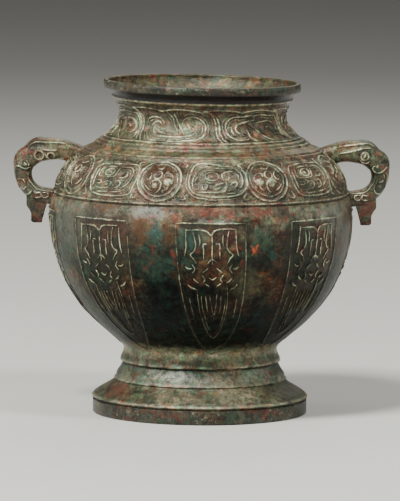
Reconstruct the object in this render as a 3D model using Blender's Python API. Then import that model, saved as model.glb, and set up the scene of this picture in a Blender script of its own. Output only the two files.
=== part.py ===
"""A cast bronze vase: a round belly on a stepped foot, with thread relief and two beast-head handles.

Lengths are in metres and angles in degrees. +Z is up, the front faces -Y, and the handles lie along X.
A zone with relief is drawn flat first: across is the turn around the axis times the zone's radius, and
up is the length along the profile. It is triangulated around its relief lines and wrapped on the profile.
"""
import math

import bmesh
import bpy
import numpy as np
from mathutils import Vector
from mathutils.geometry import delaunay_2d_cdt

# Heights of the profile's stretches, from the ground up
FOOT_RIM_HEIGHT = 0.0130
FOOT_SLOPE_HEIGHT = 0.0111
STEP_HEIGHT = 0.0122
COLLAR_HEIGHT = 0.0110
BELLY_LOWER_HEIGHT = 0.0991
BELLY_UPPER_HEIGHT = 0.0141
SHOULDER_HEIGHT = 0.0301
PLAIN_BAND_HEIGHT = 0.0056
NECK_LOWER_HEIGHT = 0.0213
NECK_UPPER_HEIGHT = 0.0103
CAVETTO_HEIGHT = 0.0061
LIP_HEIGHT = 0.0061

# Radii where the stretches meet
FOOT_RADIUS = 0.0775
FOOT_SLOPE_TOP_RADIUS = 0.0620
STEP_TOP_RADIUS = 0.0566
COLLAR_RADIUS = 0.0583
WAIST_RADIUS = 0.0557
BELLY_RADIUS = 0.1097
SHOULDER_RADIUS = 0.1065
SHOULDER_TOP_RADIUS = 0.0863
NECK_FOOT_RADIUS = 0.0761
NECK_RADIUS = 0.0601
NECK_TOP_RADIUS = 0.0646
MOUTH_RADIUS = 0.0713

# The foot's rim ends in a thin bead above a groove
BEAD_RADIUS = 0.0781
BEAD_HEIGHT = 0.0016
GROOVE_RADIUS = 0.0764
GROOVE_HEIGHT = 0.0009

# Bends of the stretches: the angles they leave and arrive at, and how far each pull reaches as a share
FOOT_SLOPE_BEND = (132, 128, 0.28, 0.27)
STEP_BEND = (95, 112, 0.40, 0.60)
COLLAR_BEND = (90, 90, 0.40, 0.60)
BELLY_LOWER_BEND = (90, 90, 0.06, 0.61)
BELLY_UPPER_BEND = (90, 125, 0.25, 0.25)
SHOULDER_BEND = (102, 135, 0.60, 0.24)
NECK_LOWER_BEND = (145, 90, 0.60, 0.30)
NECK_UPPER_BEND = (90, 52, 0.10, 0.44)
CAVETTO_BEND = (70, 5, 0.40, 0.20)

# Walls and hollows; a hollow's cutter runs past the open end by the cut margin
WALL = 0.0030
LIP_WIDTH = 0.0036
FLOOR_RISE = 0.0040
FLOOR_THICKNESS = 0.0045
CUT_MARGIN = 0.0100
# The mouth was cast out of true and dips to the right, as a slope
MOUTH_DIP = 0.017

# Relief: raised threads and mouldings
THREAD_WIDTH = 0.0026
THREAD_HEIGHT = 0.0010
RIDGE_WIDTH = 0.0024
RIDGE_HEIGHT = 0.0009

BLADE_COUNT = 8
BLADE_TURN = 3.6
BLADE_HALF_WIDTH = 0.0250
BLADE_TOP_GAP = 0.0110
BLADE_TIP_GAP = 0.0036
BLADE_LEAN = 0.0118
LEAN_TURN = 20.0
BLADE_FULLNESS = 4.5
TONGUE_HALF_WIDTH = 0.0180
TONGUE_TOP_GAP = 0.0045
TONGUE_TIP_GAP = 0.0185
TONGUE_NOTCH = 0.0040
TONGUE_FULLNESS = 2.2
LEAF_DROPS = (0.0240, 0.0440)
LEAF_START = 0.0068
LEAF_SPREAD = 0.0032
LEAF_LENGTH = 0.0100
SPEAR_HALF_WIDTH = 0.0045
SPEAR_LENGTH = 0.0300

BAND_UNIT_COUNT = 8
BAND_TURN = 5.2
ROUNDEL_MARGIN = 0.0006
ROUNDEL_CHANNEL = 0.0044
DROP_PLACE = (-0.0015, -0.0040)
DROP_RADIUS = 0.0048
DROP_HEIGHT = 0.0016
CARTOUCHE_HALF_WIDTH = 0.0192
CARTOUCHE_MARGIN = 0.0042
CARTOUCHE_CORNER = 0.0060
EYE_PLACE = (-0.0048, 0.0020)
EYE_HALF_WIDTH = 0.0058
EYE_HALF_HEIGHT = 0.0036
HORN_NEAR = 0.0048
HORN_FAR = 0.0125
HORN_RISE = 0.0055
HORN_DROP = 0.0020
JAW_BACK = 0.0130
JAW_FRONT = 0.0040
JAW_TOP = 0.0030
JAW_DROP = 0.0078

# Neck units: their lines run through (share of the unit's width, share of the band's height)
NECK_UNIT_COUNT = 7
NECK_TURN = 9.0
NECK_SPREAD = 3.5
DIVIDER_SHARES = ((-0.083, 0.92), (0.018, 0.70), (0.0, 0.40), (0.065, 0.08))
DIAGONAL_SHARES = ((0.435, 0.88), (0.556, 0.14))
VOLUTE_SHARES = ((0.241, 0.50), (0.759, 0.50))
VOLUTE_RADIUS = 0.0070
VOLUTE_EYE_RADIUS = 0.0032
VOLUTE_EYE_SHIFT = (0.0012, -0.0006)

# Handles: the loop's middle line as (distance from the axis, height, half thickness, half depth)
LOOP_PATH = (
    (0.0840, 0.1845, 0.0070, 0.0070),
    (0.1022, 0.1898, 0.0078, 0.0076),
    (0.1123, 0.1898, 0.0086, 0.0084),
    (0.1177, 0.1892, 0.0093, 0.0086),
    (0.1227, 0.1857, 0.0082, 0.0082),
    (0.1273, 0.1817, 0.0085, 0.0074),
    (0.1288, 0.1751, 0.0069, 0.0064),
    (0.1286, 0.1705, 0.0064, 0.0060),
    (0.1267, 0.1650, 0.0060, 0.0060),
    (0.1236, 0.1610, 0.0059, 0.0060),
    (0.1185, 0.1575, 0.0061, 0.0060),
    (0.1000, 0.1545, 0.0060, 0.0058),
)
LOOP_SQUARENESS = 2.6
HEAD_EYE_PLACE = (0.1167, 0.1862)
HEAD_EYE_RADIUS = 0.0048
HEAD_EYE_HEIGHT = 0.0018
CURL_PLACE = (0.1086, 0.1856)
CURL_RADIUS = 0.0042
CURL_HEIGHT = 0.0012
TAB_DISTANCE = 0.1181
TAB_TOP = 0.1560
TAB_SHOULDER = 0.1490
TAB_WAIST = 0.1437
TAB_BOTTOM = 0.1366
TAB_TOP_HALF_WIDTH = 0.0073
TAB_TOP_SHIFT = 0.0009
TAB_HALF_WIDTH = 0.0040
TAB_FLARE = 0.0009
TAB_FLARE_HEIGHT = 0.0012
TAB_DEPTH = 0.0080

# Fineness of the mesh
SIDES = 36
BELLY_STEPS = 10
ROW_SPACING = 0.0180
LINE_CLEARANCE = 0.0042
INNER_SPACING = 0.0120
LOOP_SIDES = 12
LOOP_STEPS = 20

# Heights that the profile's stretches reach
STEP_FOOT = FOOT_RIM_HEIGHT + FOOT_SLOPE_HEIGHT
STEP_TOP = STEP_FOOT + STEP_HEIGHT
WAIST = STEP_TOP + COLLAR_HEIGHT
BELLY = WAIST + BELLY_LOWER_HEIGHT
SHOULDER = BELLY + BELLY_UPPER_HEIGHT
SHOULDER_TOP = SHOULDER + SHOULDER_HEIGHT
NECK_FOOT = SHOULDER_TOP + PLAIN_BAND_HEIGHT
NECK = NECK_FOOT + NECK_LOWER_HEIGHT
NECK_TOP = NECK + NECK_UPPER_HEIGHT
LIP = NECK_TOP + CAVETTO_HEIGHT
TOP = LIP + LIP_HEIGHT
INNER_FLOOR = WAIST + FLOOR_RISE
FOOT_CEILING = INNER_FLOOR - FLOOR_THICKNESS


def curve(start, end, bend, steps):
    """A smooth run between two (radius, height) points; each pull of its bend is a share of the chord."""
    start_angle, end_angle, start_pull, end_pull = bend
    first, last = np.array(start), np.array(end)
    chord = np.linalg.norm(last - first)
    leaving = np.array([math.cos(math.radians(start_angle)), math.sin(math.radians(start_angle))])
    arriving = np.array([math.cos(math.radians(end_angle)), math.sin(math.radians(end_angle))])
    second = first + leaving * chord * start_pull
    third = last - arriving * chord * end_pull
    t = np.linspace(0.0, 1.0, steps + 1)[:, None]
    return (1 - t) ** 3 * first + 3 * (1 - t) ** 2 * t * second + 3 * (1 - t) * t * t * third + t ** 3 * last


def foot_profile():
    """The foot from the ground to the waist: rim, slope, step and collar."""
    bead = FOOT_RIM_HEIGHT - BEAD_HEIGHT
    rim = [(FOOT_RADIUS, 0.0), (FOOT_RADIUS, bead - 2 * GROOVE_HEIGHT), (GROOVE_RADIUS, bead - GROOVE_HEIGHT),
           (BEAD_RADIUS, bead), (BEAD_RADIUS, FOOT_RIM_HEIGHT)]
    slope = curve(rim[-1], (FOOT_SLOPE_TOP_RADIUS, STEP_FOOT), FOOT_SLOPE_BEND, 3)
    step = curve(slope[-1], (STEP_TOP_RADIUS, STEP_TOP), STEP_BEND, 3)
    ledge = STEP_TOP + COLLAR_RADIUS - STEP_TOP_RADIUS
    collar = curve((COLLAR_RADIUS, ledge), (WAIST_RADIUS, WAIST), COLLAR_BEND, 3)
    return [rim, slope, step, collar]


def belly_profile():
    """The belly from the waist to the edge of the shoulder."""
    lower = curve((WAIST_RADIUS, WAIST), (BELLY_RADIUS, BELLY), BELLY_LOWER_BEND, BELLY_STEPS)
    upper = curve(lower[-1], (SHOULDER_RADIUS, SHOULDER), BELLY_UPPER_BEND, 2)
    return [lower, upper]


def shoulder_profile():
    """The sloping shoulder and the plain band above it."""
    slope = curve((SHOULDER_RADIUS, SHOULDER), (SHOULDER_TOP_RADIUS, SHOULDER_TOP), SHOULDER_BEND, 6)
    return [slope, [slope[-1], (NECK_FOOT_RADIUS, NECK_FOOT)]]


def neck_profile():
    """The neck from its foot to the thin ring under the lip."""
    lower = curve((NECK_FOOT_RADIUS, NECK_FOOT), (NECK_RADIUS, NECK), NECK_LOWER_BEND, 6)
    upper = curve(lower[-1], (NECK_TOP_RADIUS, NECK_TOP), NECK_UPPER_BEND, 3)
    return [lower, upper]


def lip_profile():
    """The hollow under the lip and the upright lip."""
    cavetto = curve((NECK_TOP_RADIUS, NECK_TOP), (MOUTH_RADIUS, LIP), CAVETTO_BEND, 2)
    return [cavetto, [(MOUTH_RADIUS, LIP), (MOUTH_RADIUS, TOP)]]


def joined(runs):
    """One array of (radius, height) points from several runs, without the repeated ends."""
    points = []
    for point in (tuple(point) for run in runs for point in run):
        if not points or math.dist(points[-1], point) > 1e-6:
            points.append(point)
    return np.array(points)


def unit(vectors):
    return vectors / np.maximum(np.linalg.norm(vectors, axis=-1, keepdims=True), 1e-12)


def dipped(x, y, z):
    """A point of the vessel with the mouth's dip to the right, which starts above the shoulder."""
    share = min(max((z - SHOULDER_TOP) / (LIP - SHOULDER_TOP), 0.0), 1.0)
    return Vector((x, y, z - MOUTH_DIP * x * share * share * (3 - 2 * share)))


def turned(radius, height, turn):
    """The point at a radius and height, a turn in radians round from the front."""
    return dipped(radius * math.sin(turn), -radius * math.cos(turn), height)


class Profile:
    """A profile of (radius, height) points, measured by the length along it."""

    def __init__(self, points):
        self.points = points
        steps = np.linalg.norm(np.diff(points, axis=0), axis=1)
        self.lengths = np.concatenate([[0.0], np.cumsum(steps)])

    def length_at(self, height):
        return float(np.interp(height, self.points[:, 1], self.lengths))

    def place(self, length, lift=0.0):
        """The (radius, height) at a length, lifted square off the profile."""
        nudge = 0.0008
        samples = np.array([length - nudge, length, length + nudge]).clip(0.0, self.lengths[-1])
        radii = np.interp(samples, self.lengths, self.points[:, 0])
        heights = np.interp(samples, self.lengths, self.points[:, 1])
        along = unit(np.array([radii[2] - radii[0], heights[2] - heights[0]]))
        return radii[1] + along[1] * lift, heights[1] - along[0] * lift


def beside(path, distance, closed):
    """The line at a distance to the left of a flat path, with mitred corners."""
    if closed:
        before, after = np.roll(path, 1, axis=0), np.roll(path, -1, axis=0)
    else:
        before = np.vstack([2 * path[0] - path[1], path[:-1]])
        after = np.vstack([path[1:], 2 * path[-1] - path[-2]])
    first = unit(path - before)
    mean = unit(first + unit(after - path))
    spread = np.maximum((first * mean).sum(axis=1), 0.6)
    return path + np.stack([-mean[:, 1], mean[:, 0]], axis=1) * (distance / spread)[:, None]


class Sheet:
    """A zone of the outer surface with relief.

    It is drawn flat and triangulated as a ring around the origin, so that it closes on itself.
    """

    def __init__(self, profile, low, high, radius):
        self.profile = profile
        self.low = low
        self.high = high
        self.radius = radius
        self.points = []
        self.edges = []
        self.threads = []
        self.bosses = []

    def on_ring(self, flat):
        """Flat points on the ring: the further up the sheet, the further out."""
        flat = np.atleast_2d(flat)
        out = np.exp((flat[:, 1] - self.low) / self.radius)
        turn = flat[:, 0] / self.radius
        return np.stack([out * np.cos(turn), out * np.sin(turn)], axis=1)

    def add_line(self, flat, closed):
        start = len(self.points)
        self.points.extend(self.on_ring(flat))
        self.edges.extend((i, i + 1) for i in range(start, len(self.points) - 1))
        if closed:
            self.edges.append((len(self.points) - 1, start))

    def thread(self, path, closed=False):
        """A raised thread along a flat path: its crest line and the lines at its feet."""
        path = np.array(path, dtype=float)
        self.add_line(path, closed)
        feet = [beside(path, side * THREAD_WIDTH / 2, closed) for side in (1, -1)]
        if closed:
            self.add_line(feet[0], True)
            self.add_line(feet[1], True)
        else:
            front = path[-1:] + unit(path[-1:] - path[-2:-1]) * THREAD_WIDTH / 2
            back = path[:1] + unit(path[:1] - path[1:2]) * THREAD_WIDTH / 2
            self.add_line(np.vstack([feet[0], front, feet[1][::-1], back]), True)
        crest = self.on_ring(path)
        ends = np.roll(crest, -1, axis=0) if closed else crest[1:]
        self.threads.extend(zip(crest[:len(ends)], ends))

    def boss(self, centre, radius, height):
        """A low dome."""
        self.add_line(ring(centre, radius, radius, 8), True)
        self.points.extend(self.on_ring(centre))
        self.bosses.append((self.on_ring(centre)[0], radius, height))

    def gaps(self, places):
        """The distance on the flat sheet from each ring place to the nearest crest line."""
        starts = np.array([start for start, _ in self.threads])
        spans = np.array([end for _, end in self.threads]) - starts
        squares = (spans ** 2).sum(axis=1)
        gaps = []
        for place in places:
            offset = place - starts
            share = np.clip((offset * spans).sum(axis=1) / squares, 0.0, 1.0)
            nearest = np.linalg.norm(offset - share[:, None] * spans, axis=1).min()
            gaps.append(nearest * self.radius / np.linalg.norm(place))
        return np.array(gaps)

    def lifts(self, places):
        """How far each ring place stands off the plain surface."""
        lifts = THREAD_HEIGHT * np.maximum(0.0, 1.0 - self.gaps(places) / (THREAD_WIDTH / 2))
        scale = self.radius / np.linalg.norm(places, axis=1)
        for centre, radius, height in self.bosses:
            share = np.linalg.norm(places - centre, axis=1) * scale / radius
            lifts = np.maximum(lifts, height * np.maximum(0.0, 1.0 - share ** 2))
        return lifts

    def build(self, mesh):
        """Add the triangulated zone to the mesh."""
        columns = np.arange(SIDES) * 2 * math.pi / SIDES * self.radius
        low_start = len(self.points)
        for height in (self.low, self.high):
            self.add_line(np.stack([columns, np.full(SIDES, height)], axis=1), True)
        rows = np.linspace(self.low, self.high, max(2, round((self.high - self.low) / ROW_SPACING)) + 1)[1:-1]
        grid = self.on_ring([(x, y) for y in rows for x in columns])
        clear = self.gaps(grid) > LINE_CLEARANCE
        points = [Vector(point) for point in self.points] + [Vector(point) for point in grid[clear]]
        flat, _, faces, sources, _, _ = delaunay_2d_cdt(points, self.edges, [], 0, 1e-6)
        hole = {i for i, source in enumerate(sources) if any(0 <= s - low_start < SIDES for s in source)}
        places = np.array([point.to_tuple() for point in flat])
        lifts = self.lifts(places)
        verts = []
        for (across, up), lift in zip(places, lifts):
            length = self.low + self.radius * math.log(math.hypot(across, up))
            length = min(max(length, self.low), self.high)
            radius, height = self.profile.place(length, lift)
            verts.append(mesh.verts.new(turned(radius, height, math.atan2(up, across))))
        for face in faces:
            if not hole.issuperset(face):
                mesh.faces.new([verts[i] for i in face])


def arc(centre, radius, start, end, steps):
    """Points of an arc, with its angles in degrees."""
    turns = np.radians(np.linspace(start, end, steps + 1))
    return np.array(centre) + radius * np.stack([np.cos(turns), np.sin(turns)], axis=1)


def ring(centre, half_width, half_height, steps):
    turns = np.linspace(0.0, 2 * math.pi, steps, endpoint=False)
    return np.array(centre) + np.stack([half_width * np.cos(turns), half_height * np.sin(turns)], axis=1)


def rounded_box(half_width, half_height, corner, corner_steps):
    """A closed box outline with round corners, about its own centre."""
    path = []
    for across, up, start in ((1, 1, 0), (-1, 1, 90), (-1, -1, 180), (1, -1, 270)):
        centre = (across * (half_width - corner), up * (half_height - corner))
        path.extend(arc(centre, corner, start, start + 90, corner_steps))
    return np.array(path)


def lappet(half_width, length, fullness, notch, steps):
    """A hanging blade's outline about the middle of its top edge, whose middle drops by the notch."""
    share = np.sin(np.linspace(0.0, math.pi / 2, steps + 1))
    half = half_width * (1.0 - share ** fullness) ** 0.5
    side = np.stack([half, -share * length], axis=1)
    return np.vstack([side, (side * (-1.0, 1.0))[-2::-1], [(0.0, -notch)]])


def add_blade(sheet, centre, lean):
    """A hanging blade: its outline, the tongue within, two pairs of leaves and a middle spear."""
    top = sheet.high - BLADE_TOP_GAP
    length = top - sheet.low - BLADE_TIP_GAP

    def placed(path):
        path = np.array(path, dtype=float)
        sideways = lean * np.clip(-path[:, 1] / length, 0.0, 1.0) ** 1.5
        return path + np.stack([centre + sideways, np.full(len(path), top)], axis=1)

    sheet.thread(placed(lappet(BLADE_HALF_WIDTH, length, BLADE_FULLNESS, 0.0, 6)), closed=True)
    tongue = lappet(TONGUE_HALF_WIDTH, length - TONGUE_TOP_GAP - TONGUE_TIP_GAP, TONGUE_FULLNESS, TONGUE_NOTCH, 5)
    sheet.thread(placed(tongue - (0.0, TONGUE_TOP_GAP)), closed=True)
    for drop in LEAF_DROPS:
        for side in (1, -1):
            leaf = np.array([(LEAF_START, -drop), (LEAF_START + LEAF_SPREAD, -drop - LEAF_LENGTH)])
            sheet.thread(placed(leaf * (side, 1.0)))
    head = -LEAF_DROPS[-1]
    sheet.thread(placed([(SPEAR_HALF_WIDTH, head), (0.0, head - SPEAR_LENGTH), (-SPEAR_HALF_WIDTH, head)]))


def add_roundel(sheet, centre):
    """A roundel: two rings and a swelling drop."""
    outer = (sheet.high - sheet.low - THREAD_WIDTH) / 2 - ROUNDEL_MARGIN
    inner = outer - ROUNDEL_CHANNEL
    sheet.thread(ring(centre, outer, outer, 12), closed=True)
    sheet.thread(ring(centre, inner, inner, 9), closed=True)
    sheet.boss(np.array(centre) + DROP_PLACE, DROP_RADIUS, DROP_HEIGHT)


def add_cartouche(sheet, centre):
    """A cartouche with a dragon's mask in it: frame, eye, horn and jaw."""
    def placed(path):
        return np.array(path) + centre

    half_height = (sheet.high - sheet.low) / 2 - CARTOUCHE_MARGIN
    sheet.thread(placed(rounded_box(CARTOUCHE_HALF_WIDTH, half_height, CARTOUCHE_CORNER, 1)), closed=True)
    sheet.thread(ring(placed(EYE_PLACE), EYE_HALF_WIDTH, EYE_HALF_HEIGHT, 7), closed=True)
    sheet.thread(placed([(HORN_NEAR, -HORN_DROP), (HORN_NEAR, HORN_RISE), (HORN_FAR, HORN_RISE),
                         (HORN_FAR, -HORN_DROP)]))
    sheet.thread(placed([(-JAW_BACK, -JAW_TOP), (-JAW_BACK, -JAW_DROP), (JAW_FRONT, -JAW_DROP)]))


def add_neck_unit(sheet, across):
    """A neck unit: the wavy divider, two volutes facing each other and the diagonal between them."""
    width = 2 * math.pi * sheet.radius / NECK_UNIT_COUNT
    rise = sheet.high - sheet.low

    def placed(shares):
        return np.array([(across + x * width, sheet.low + y * rise) for x, y in shares])

    sheet.thread(placed(DIVIDER_SHARES))
    sheet.thread(placed(DIAGONAL_SHARES))
    outer = arc((0.0, 0.0), VOLUTE_RADIUS, 250, 0, 5)
    inner = arc(VOLUTE_EYE_SHIFT, VOLUTE_EYE_RADIUS, -40, -160, 1)
    for side, place in zip((1, -1), VOLUTE_SHARES):
        sheet.thread(np.vstack([outer, inner]) * (side, 1.0) + placed([place]))


def belly_zone(profile):
    sheet = Sheet(profile, profile.length_at(WAIST), profile.length_at(SHOULDER) - RIDGE_WIDTH, BELLY_RADIUS)
    for k in range(BLADE_COUNT):
        turn = math.radians(BLADE_TURN + 360.0 * k / BLADE_COUNT)
        lean = BLADE_LEAN * max(0.0, math.cos(2 * (turn - math.radians(LEAN_TURN))))
        add_blade(sheet, turn * sheet.radius, lean)
    return sheet


def shoulder_zone(profile):
    low = profile.length_at(SHOULDER) + RIDGE_WIDTH / 2
    high = profile.length_at(SHOULDER_TOP) - 1.5 * RIDGE_WIDTH
    sheet = Sheet(profile, low, high, profile.place((low + high) / 2)[0])
    for k in range(2 * BAND_UNIT_COUNT):
        turn = math.radians(BAND_TURN + 180.0 * k / BAND_UNIT_COUNT)
        add_unit = add_roundel if k % 2 else add_cartouche
        add_unit(sheet, (turn * sheet.radius, (low + high) / 2))
    return sheet


def neck_zone(profile):
    sheet = Sheet(profile, profile.length_at(NECK_FOOT) + 2 * RIDGE_WIDTH,
                  profile.length_at(NECK_TOP) - RIDGE_WIDTH, NECK_RADIUS)
    for k in range(NECK_UNIT_COUNT):
        turn = 360.0 * k / NECK_UNIT_COUNT
        turn += NECK_TURN + NECK_SPREAD * math.sin(math.radians(turn))
        add_neck_unit(sheet, math.radians(turn) * sheet.radius)
    return sheet


def add_rings(mesh, stations):
    """Bands of quads through rings of (radius, height), and the first and last ring's points."""
    rings = []
    for radius, height in stations:
        rings.append([mesh.verts.new(turned(radius, height, 2 * math.pi * k / SIDES)) for k in range(SIDES)])
    for lower, upper in zip(rings, rings[1:]):
        for k in range(SIDES):
            after = (k + 1) % SIDES
            mesh.faces.new((lower[k], lower[after], upper[after], upper[k]))
    return rings[0], rings[-1]


def moulding(profile, start, end, lifts):
    """Stations along a stretch of the profile, lifted off it in equal steps."""
    lengths = np.linspace(start, end, len(lifts))
    return [profile.place(length, lift) for length, lift in zip(lengths, lifts)]


def plain_stations(profile, start, end):
    """The profile's own points between two lengths, with both ends."""
    inside = (profile.lengths > start + 1e-6) & (profile.lengths < end - 1e-6)
    return [profile.place(start)] + [tuple(p) for p in profile.points[inside]] + [profile.place(end)]


def finished(mesh, name, material):
    """An object from a closed mesh, with its faces pointing out."""
    bmesh.ops.remove_doubles(mesh, verts=mesh.verts, dist=1e-6)
    bmesh.ops.recalc_face_normals(mesh, faces=mesh.faces)
    data = bpy.data.meshes.new(name)
    mesh.to_mesh(data)
    mesh.free()
    data.materials.append(material)
    item = bpy.data.objects.new(name, data)
    bpy.context.collection.objects.link(item)
    return item


def make_vessel(material):
    """The outer form as one closed solid; the hollows are cut from it afterwards."""
    profile = Profile(joined(foot_profile() + belly_profile() + shoulder_profile() + neck_profile()
                             + lip_profile()))
    belly, shoulder, neck = belly_zone(profile), shoulder_zone(profile), neck_zone(profile)
    mesh = bmesh.new()
    foot = plain_stations(profile, 0.0, belly.low)
    bottom, _ = add_rings(mesh, foot)
    mesh.faces.new(bottom)
    belly.build(mesh)
    add_rings(mesh, moulding(profile, belly.high, shoulder.low, (0.0, -0.3 * RIDGE_HEIGHT, RIDGE_HEIGHT, 0.0)))
    shoulder.build(mesh)
    ridge = moulding(profile, shoulder.high, shoulder.high + 2 * RIDGE_WIDTH, (0.0, RIDGE_HEIGHT, 0.0))
    double = moulding(profile, neck.low - 3 * RIDGE_WIDTH, neck.low, (0.0, RIDGE_HEIGHT, 0.0, RIDGE_HEIGHT, 0.0))
    add_rings(mesh, ridge + double)
    neck.build(mesh)
    ridge = moulding(profile, neck.high, neck.high + 2 * RIDGE_WIDTH, (0.0, RIDGE_HEIGHT, 0.0))
    lip = plain_stations(profile, neck.high + 2 * RIDGE_WIDTH, profile.lengths[-1])
    _, rim = add_rings(mesh, ridge[:-1] + lip)
    mesh.faces.new(rim)
    return finished(mesh, "vase", material)


def inset(points, distance):
    """A profile moved square inwards by a distance, with its points spaced out."""
    along = unit(np.vstack([points[1:2] - points[:1], points[2:] - points[:-2], points[-1:] - points[-2:-1]]))
    moved = points - np.stack([along[:, 1], -along[:, 0]], axis=1) * distance
    kept = [moved[0]]
    for point in moved[1:]:
        if math.dist(point, kept[-1]) > INNER_SPACING:
            kept.append(point)
    return np.array(kept)


def closed_turning(name, stations, material):
    mesh = bmesh.new()
    bottom, top = add_rings(mesh, stations)
    mesh.faces.new(bottom)
    mesh.faces.new(top)
    item = finished(mesh, name, material)
    item.hide_render = True
    item.display_type = "WIRE"
    return item


def make_cavity(material):
    """The inside of the vessel, one wall in from the outer profile, open past the mouth."""
    outer = joined(belly_profile() + shoulder_profile() + neck_profile())
    inner = inset(outer, WALL)
    inner = inner[inner[:, 1] > INNER_FLOOR + WALL]
    floor_radius = WAIST_RADIUS - WALL
    stations = [(floor_radius, INNER_FLOOR)] + [tuple(point) for point in inner]
    stations += [(MOUTH_RADIUS - LIP_WIDTH, TOP), (MOUTH_RADIUS - LIP_WIDTH, TOP + CUT_MARGIN)]
    return closed_turning("cavity", stations, material)


def make_foot_hollow(material):
    """The hollow under the foot, up to the underside of the vessel's floor."""
    inner = inset(joined(foot_profile()), WALL)
    inner = inner[(inner[:, 1] > 0.0) & (inner[:, 1] < FOOT_CEILING - WALL)]
    stations = [(FOOT_RADIUS - WALL, -CUT_MARGIN)] + [tuple(point) for point in inner]
    stations += [(WAIST_RADIUS - WALL, FOOT_CEILING)]
    return closed_turning("foot_hollow", stations, material)


def smooth_path(points, steps):
    """A Catmull-Rom curve through the points, evenly spaced along its length."""
    points = np.array(points)
    padded = np.vstack([2 * points[0] - points[1], points, 2 * points[-1] - points[-2]])
    fine = []
    for before, start, end, after in zip(padded, padded[1:], padded[2:], padded[3:]):
        t = np.linspace(0.0, 1.0, 20, endpoint=False)[:, None]
        fine.append(0.5 * (2 * start + (end - before) * t + (2 * before - 5 * start + 4 * end - after) * t ** 2
                           + (3 * start - before - 3 * end + after) * t ** 3))
    fine = np.vstack(fine + [points[-1:]])
    lengths = np.concatenate([[0.0], np.cumsum(np.linalg.norm(np.diff(fine[:, :2], axis=0), axis=1))])
    wanted = np.linspace(0.0, lengths[-1], steps + 1)
    return np.stack([np.interp(wanted, lengths, fine[:, i]) for i in range(fine.shape[1])], axis=1)


def swelling(point, place, radius, height):
    """The height of a round swelling on the handle's sides at a (distance, height) point."""
    share = np.linalg.norm(np.array(point) - place) / radius
    return height * max(0.0, 1.0 - share ** 2)


def add_loop(mesh, side):
    """A handle: a swept loop whose outer corner is the beast's head, with its eyes and curls."""
    path = smooth_path(LOOP_PATH, LOOP_STEPS)
    along = unit(np.vstack([path[1:2] - path[:1], path[2:] - path[:-2], path[-1:] - path[-2:-1]])[:, :2])
    rings = []
    for (away, height, half_thickness, half_depth), (run, rise) in zip(path, along):
        corners = []
        for k in range(LOOP_SIDES):
            turn = 2 * math.pi * k / LOOP_SIDES
            across, deep = math.cos(turn), math.sin(turn)
            size = (abs(across) ** LOOP_SQUARENESS + abs(deep) ** LOOP_SQUARENESS) ** (-1.0 / LOOP_SQUARENESS)
            out = half_thickness * across * size
            place = (away - rise * out, height + run * out)
            swell = swelling(place, HEAD_EYE_PLACE, HEAD_EYE_RADIUS, HEAD_EYE_HEIGHT)
            swell += swelling(place, CURL_PLACE, CURL_RADIUS, CURL_HEIGHT)
            depth = half_depth * deep * size + math.copysign(swell, deep) * (abs(deep) > 0.1)
            corners.append(mesh.verts.new((side * place[0], depth, place[1])))
        rings.append(corners)
    for first, second in zip(rings, rings[1:]):
        for k in range(LOOP_SIDES):
            after = (k + 1) % LOOP_SIDES
            mesh.faces.new((first[k], first[after], second[after], second[k]))
    mesh.faces.new(rings[0])
    mesh.faces.new(rings[-1])


def add_tab(mesh, side):
    """The tab that hangs under a handle: it narrows below its shoulder and flares out at its end."""
    outline = [(TAB_TOP_SHIFT + TAB_TOP_HALF_WIDTH, TAB_TOP),
               (TAB_TOP_SHIFT + TAB_TOP_HALF_WIDTH, TAB_SHOULDER),
               (TAB_HALF_WIDTH, TAB_WAIST),
               (TAB_HALF_WIDTH + TAB_FLARE, TAB_BOTTOM + TAB_FLARE_HEIGHT),
               (TAB_HALF_WIDTH - TAB_FLARE, TAB_BOTTOM),
               (TAB_FLARE - TAB_HALF_WIDTH, TAB_BOTTOM),
               (-TAB_HALF_WIDTH, TAB_WAIST),
               (TAB_TOP_SHIFT - TAB_TOP_HALF_WIDTH, TAB_SHOULDER),
               (TAB_TOP_SHIFT - TAB_TOP_HALF_WIDTH, TAB_TOP)]
    faces = []
    for depth in (-TAB_DEPTH / 2, TAB_DEPTH / 2):
        faces.append([mesh.verts.new((side * (TAB_DISTANCE + across), depth, height)) for across, height in outline])
        mesh.faces.new(faces[-1])
    for k in range(len(outline)):
        after = (k + 1) % len(outline)
        mesh.faces.new((faces[0][k], faces[0][after], faces[1][after], faces[1][k]))


def make_handle_part(name, add_part, material):
    """Both sides' copies of a handle part, joined to the vessel afterwards."""
    mesh = bmesh.new()
    for side in (-1, 1):
        add_part(mesh, side)
    item = finished(mesh, name, material)
    item.hide_render = True
    item.display_type = "WIRE"
    return item


def make_bronze():
    material = bpy.data.materials.new("patinated_bronze")
    material.use_nodes = True
    shader = material.node_tree.nodes["Principled BSDF"]
    shader.inputs["Base Color"].default_value = (0.075, 0.085, 0.055, 1.0)
    shader.inputs["Metallic"].default_value = 0.4
    shader.inputs["Roughness"].default_value = 0.5
    return material


def main():
    for item in list(bpy.data.objects):
        bpy.data.objects.remove(item, do_unlink=True)
    bronze = make_bronze()
    vase = make_vessel(bronze)
    tools = [(make_handle_part("loops", add_loop, bronze), "UNION"),
             (make_handle_part("tabs", add_tab, bronze), "UNION"),
             (make_cavity(bronze), "DIFFERENCE"),
             (make_foot_hollow(bronze), "DIFFERENCE")]
    for tool, operation in tools:
        cut = vase.modifiers.new(tool.name, "BOOLEAN")
        cut.object = tool
        cut.operation = operation
        cut.solver = "EXACT"
    vase.data.shade_smooth()
    vase.data.set_sharp_from_angle(angle=math.radians(40))


main()
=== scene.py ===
"""The looks of a cast bronze vase: thread relief in three zones, two beast-head handles and its patina.

Lengths are in metres and angles in degrees, but strokes of the relief are drawn in millimetres on a flat
sheet: across is the turn around the axis times the zone's radius, and up is the length along the profile.
A sheet is triangulated around its strokes and then wrapped on the profile.
"""
import math

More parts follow.
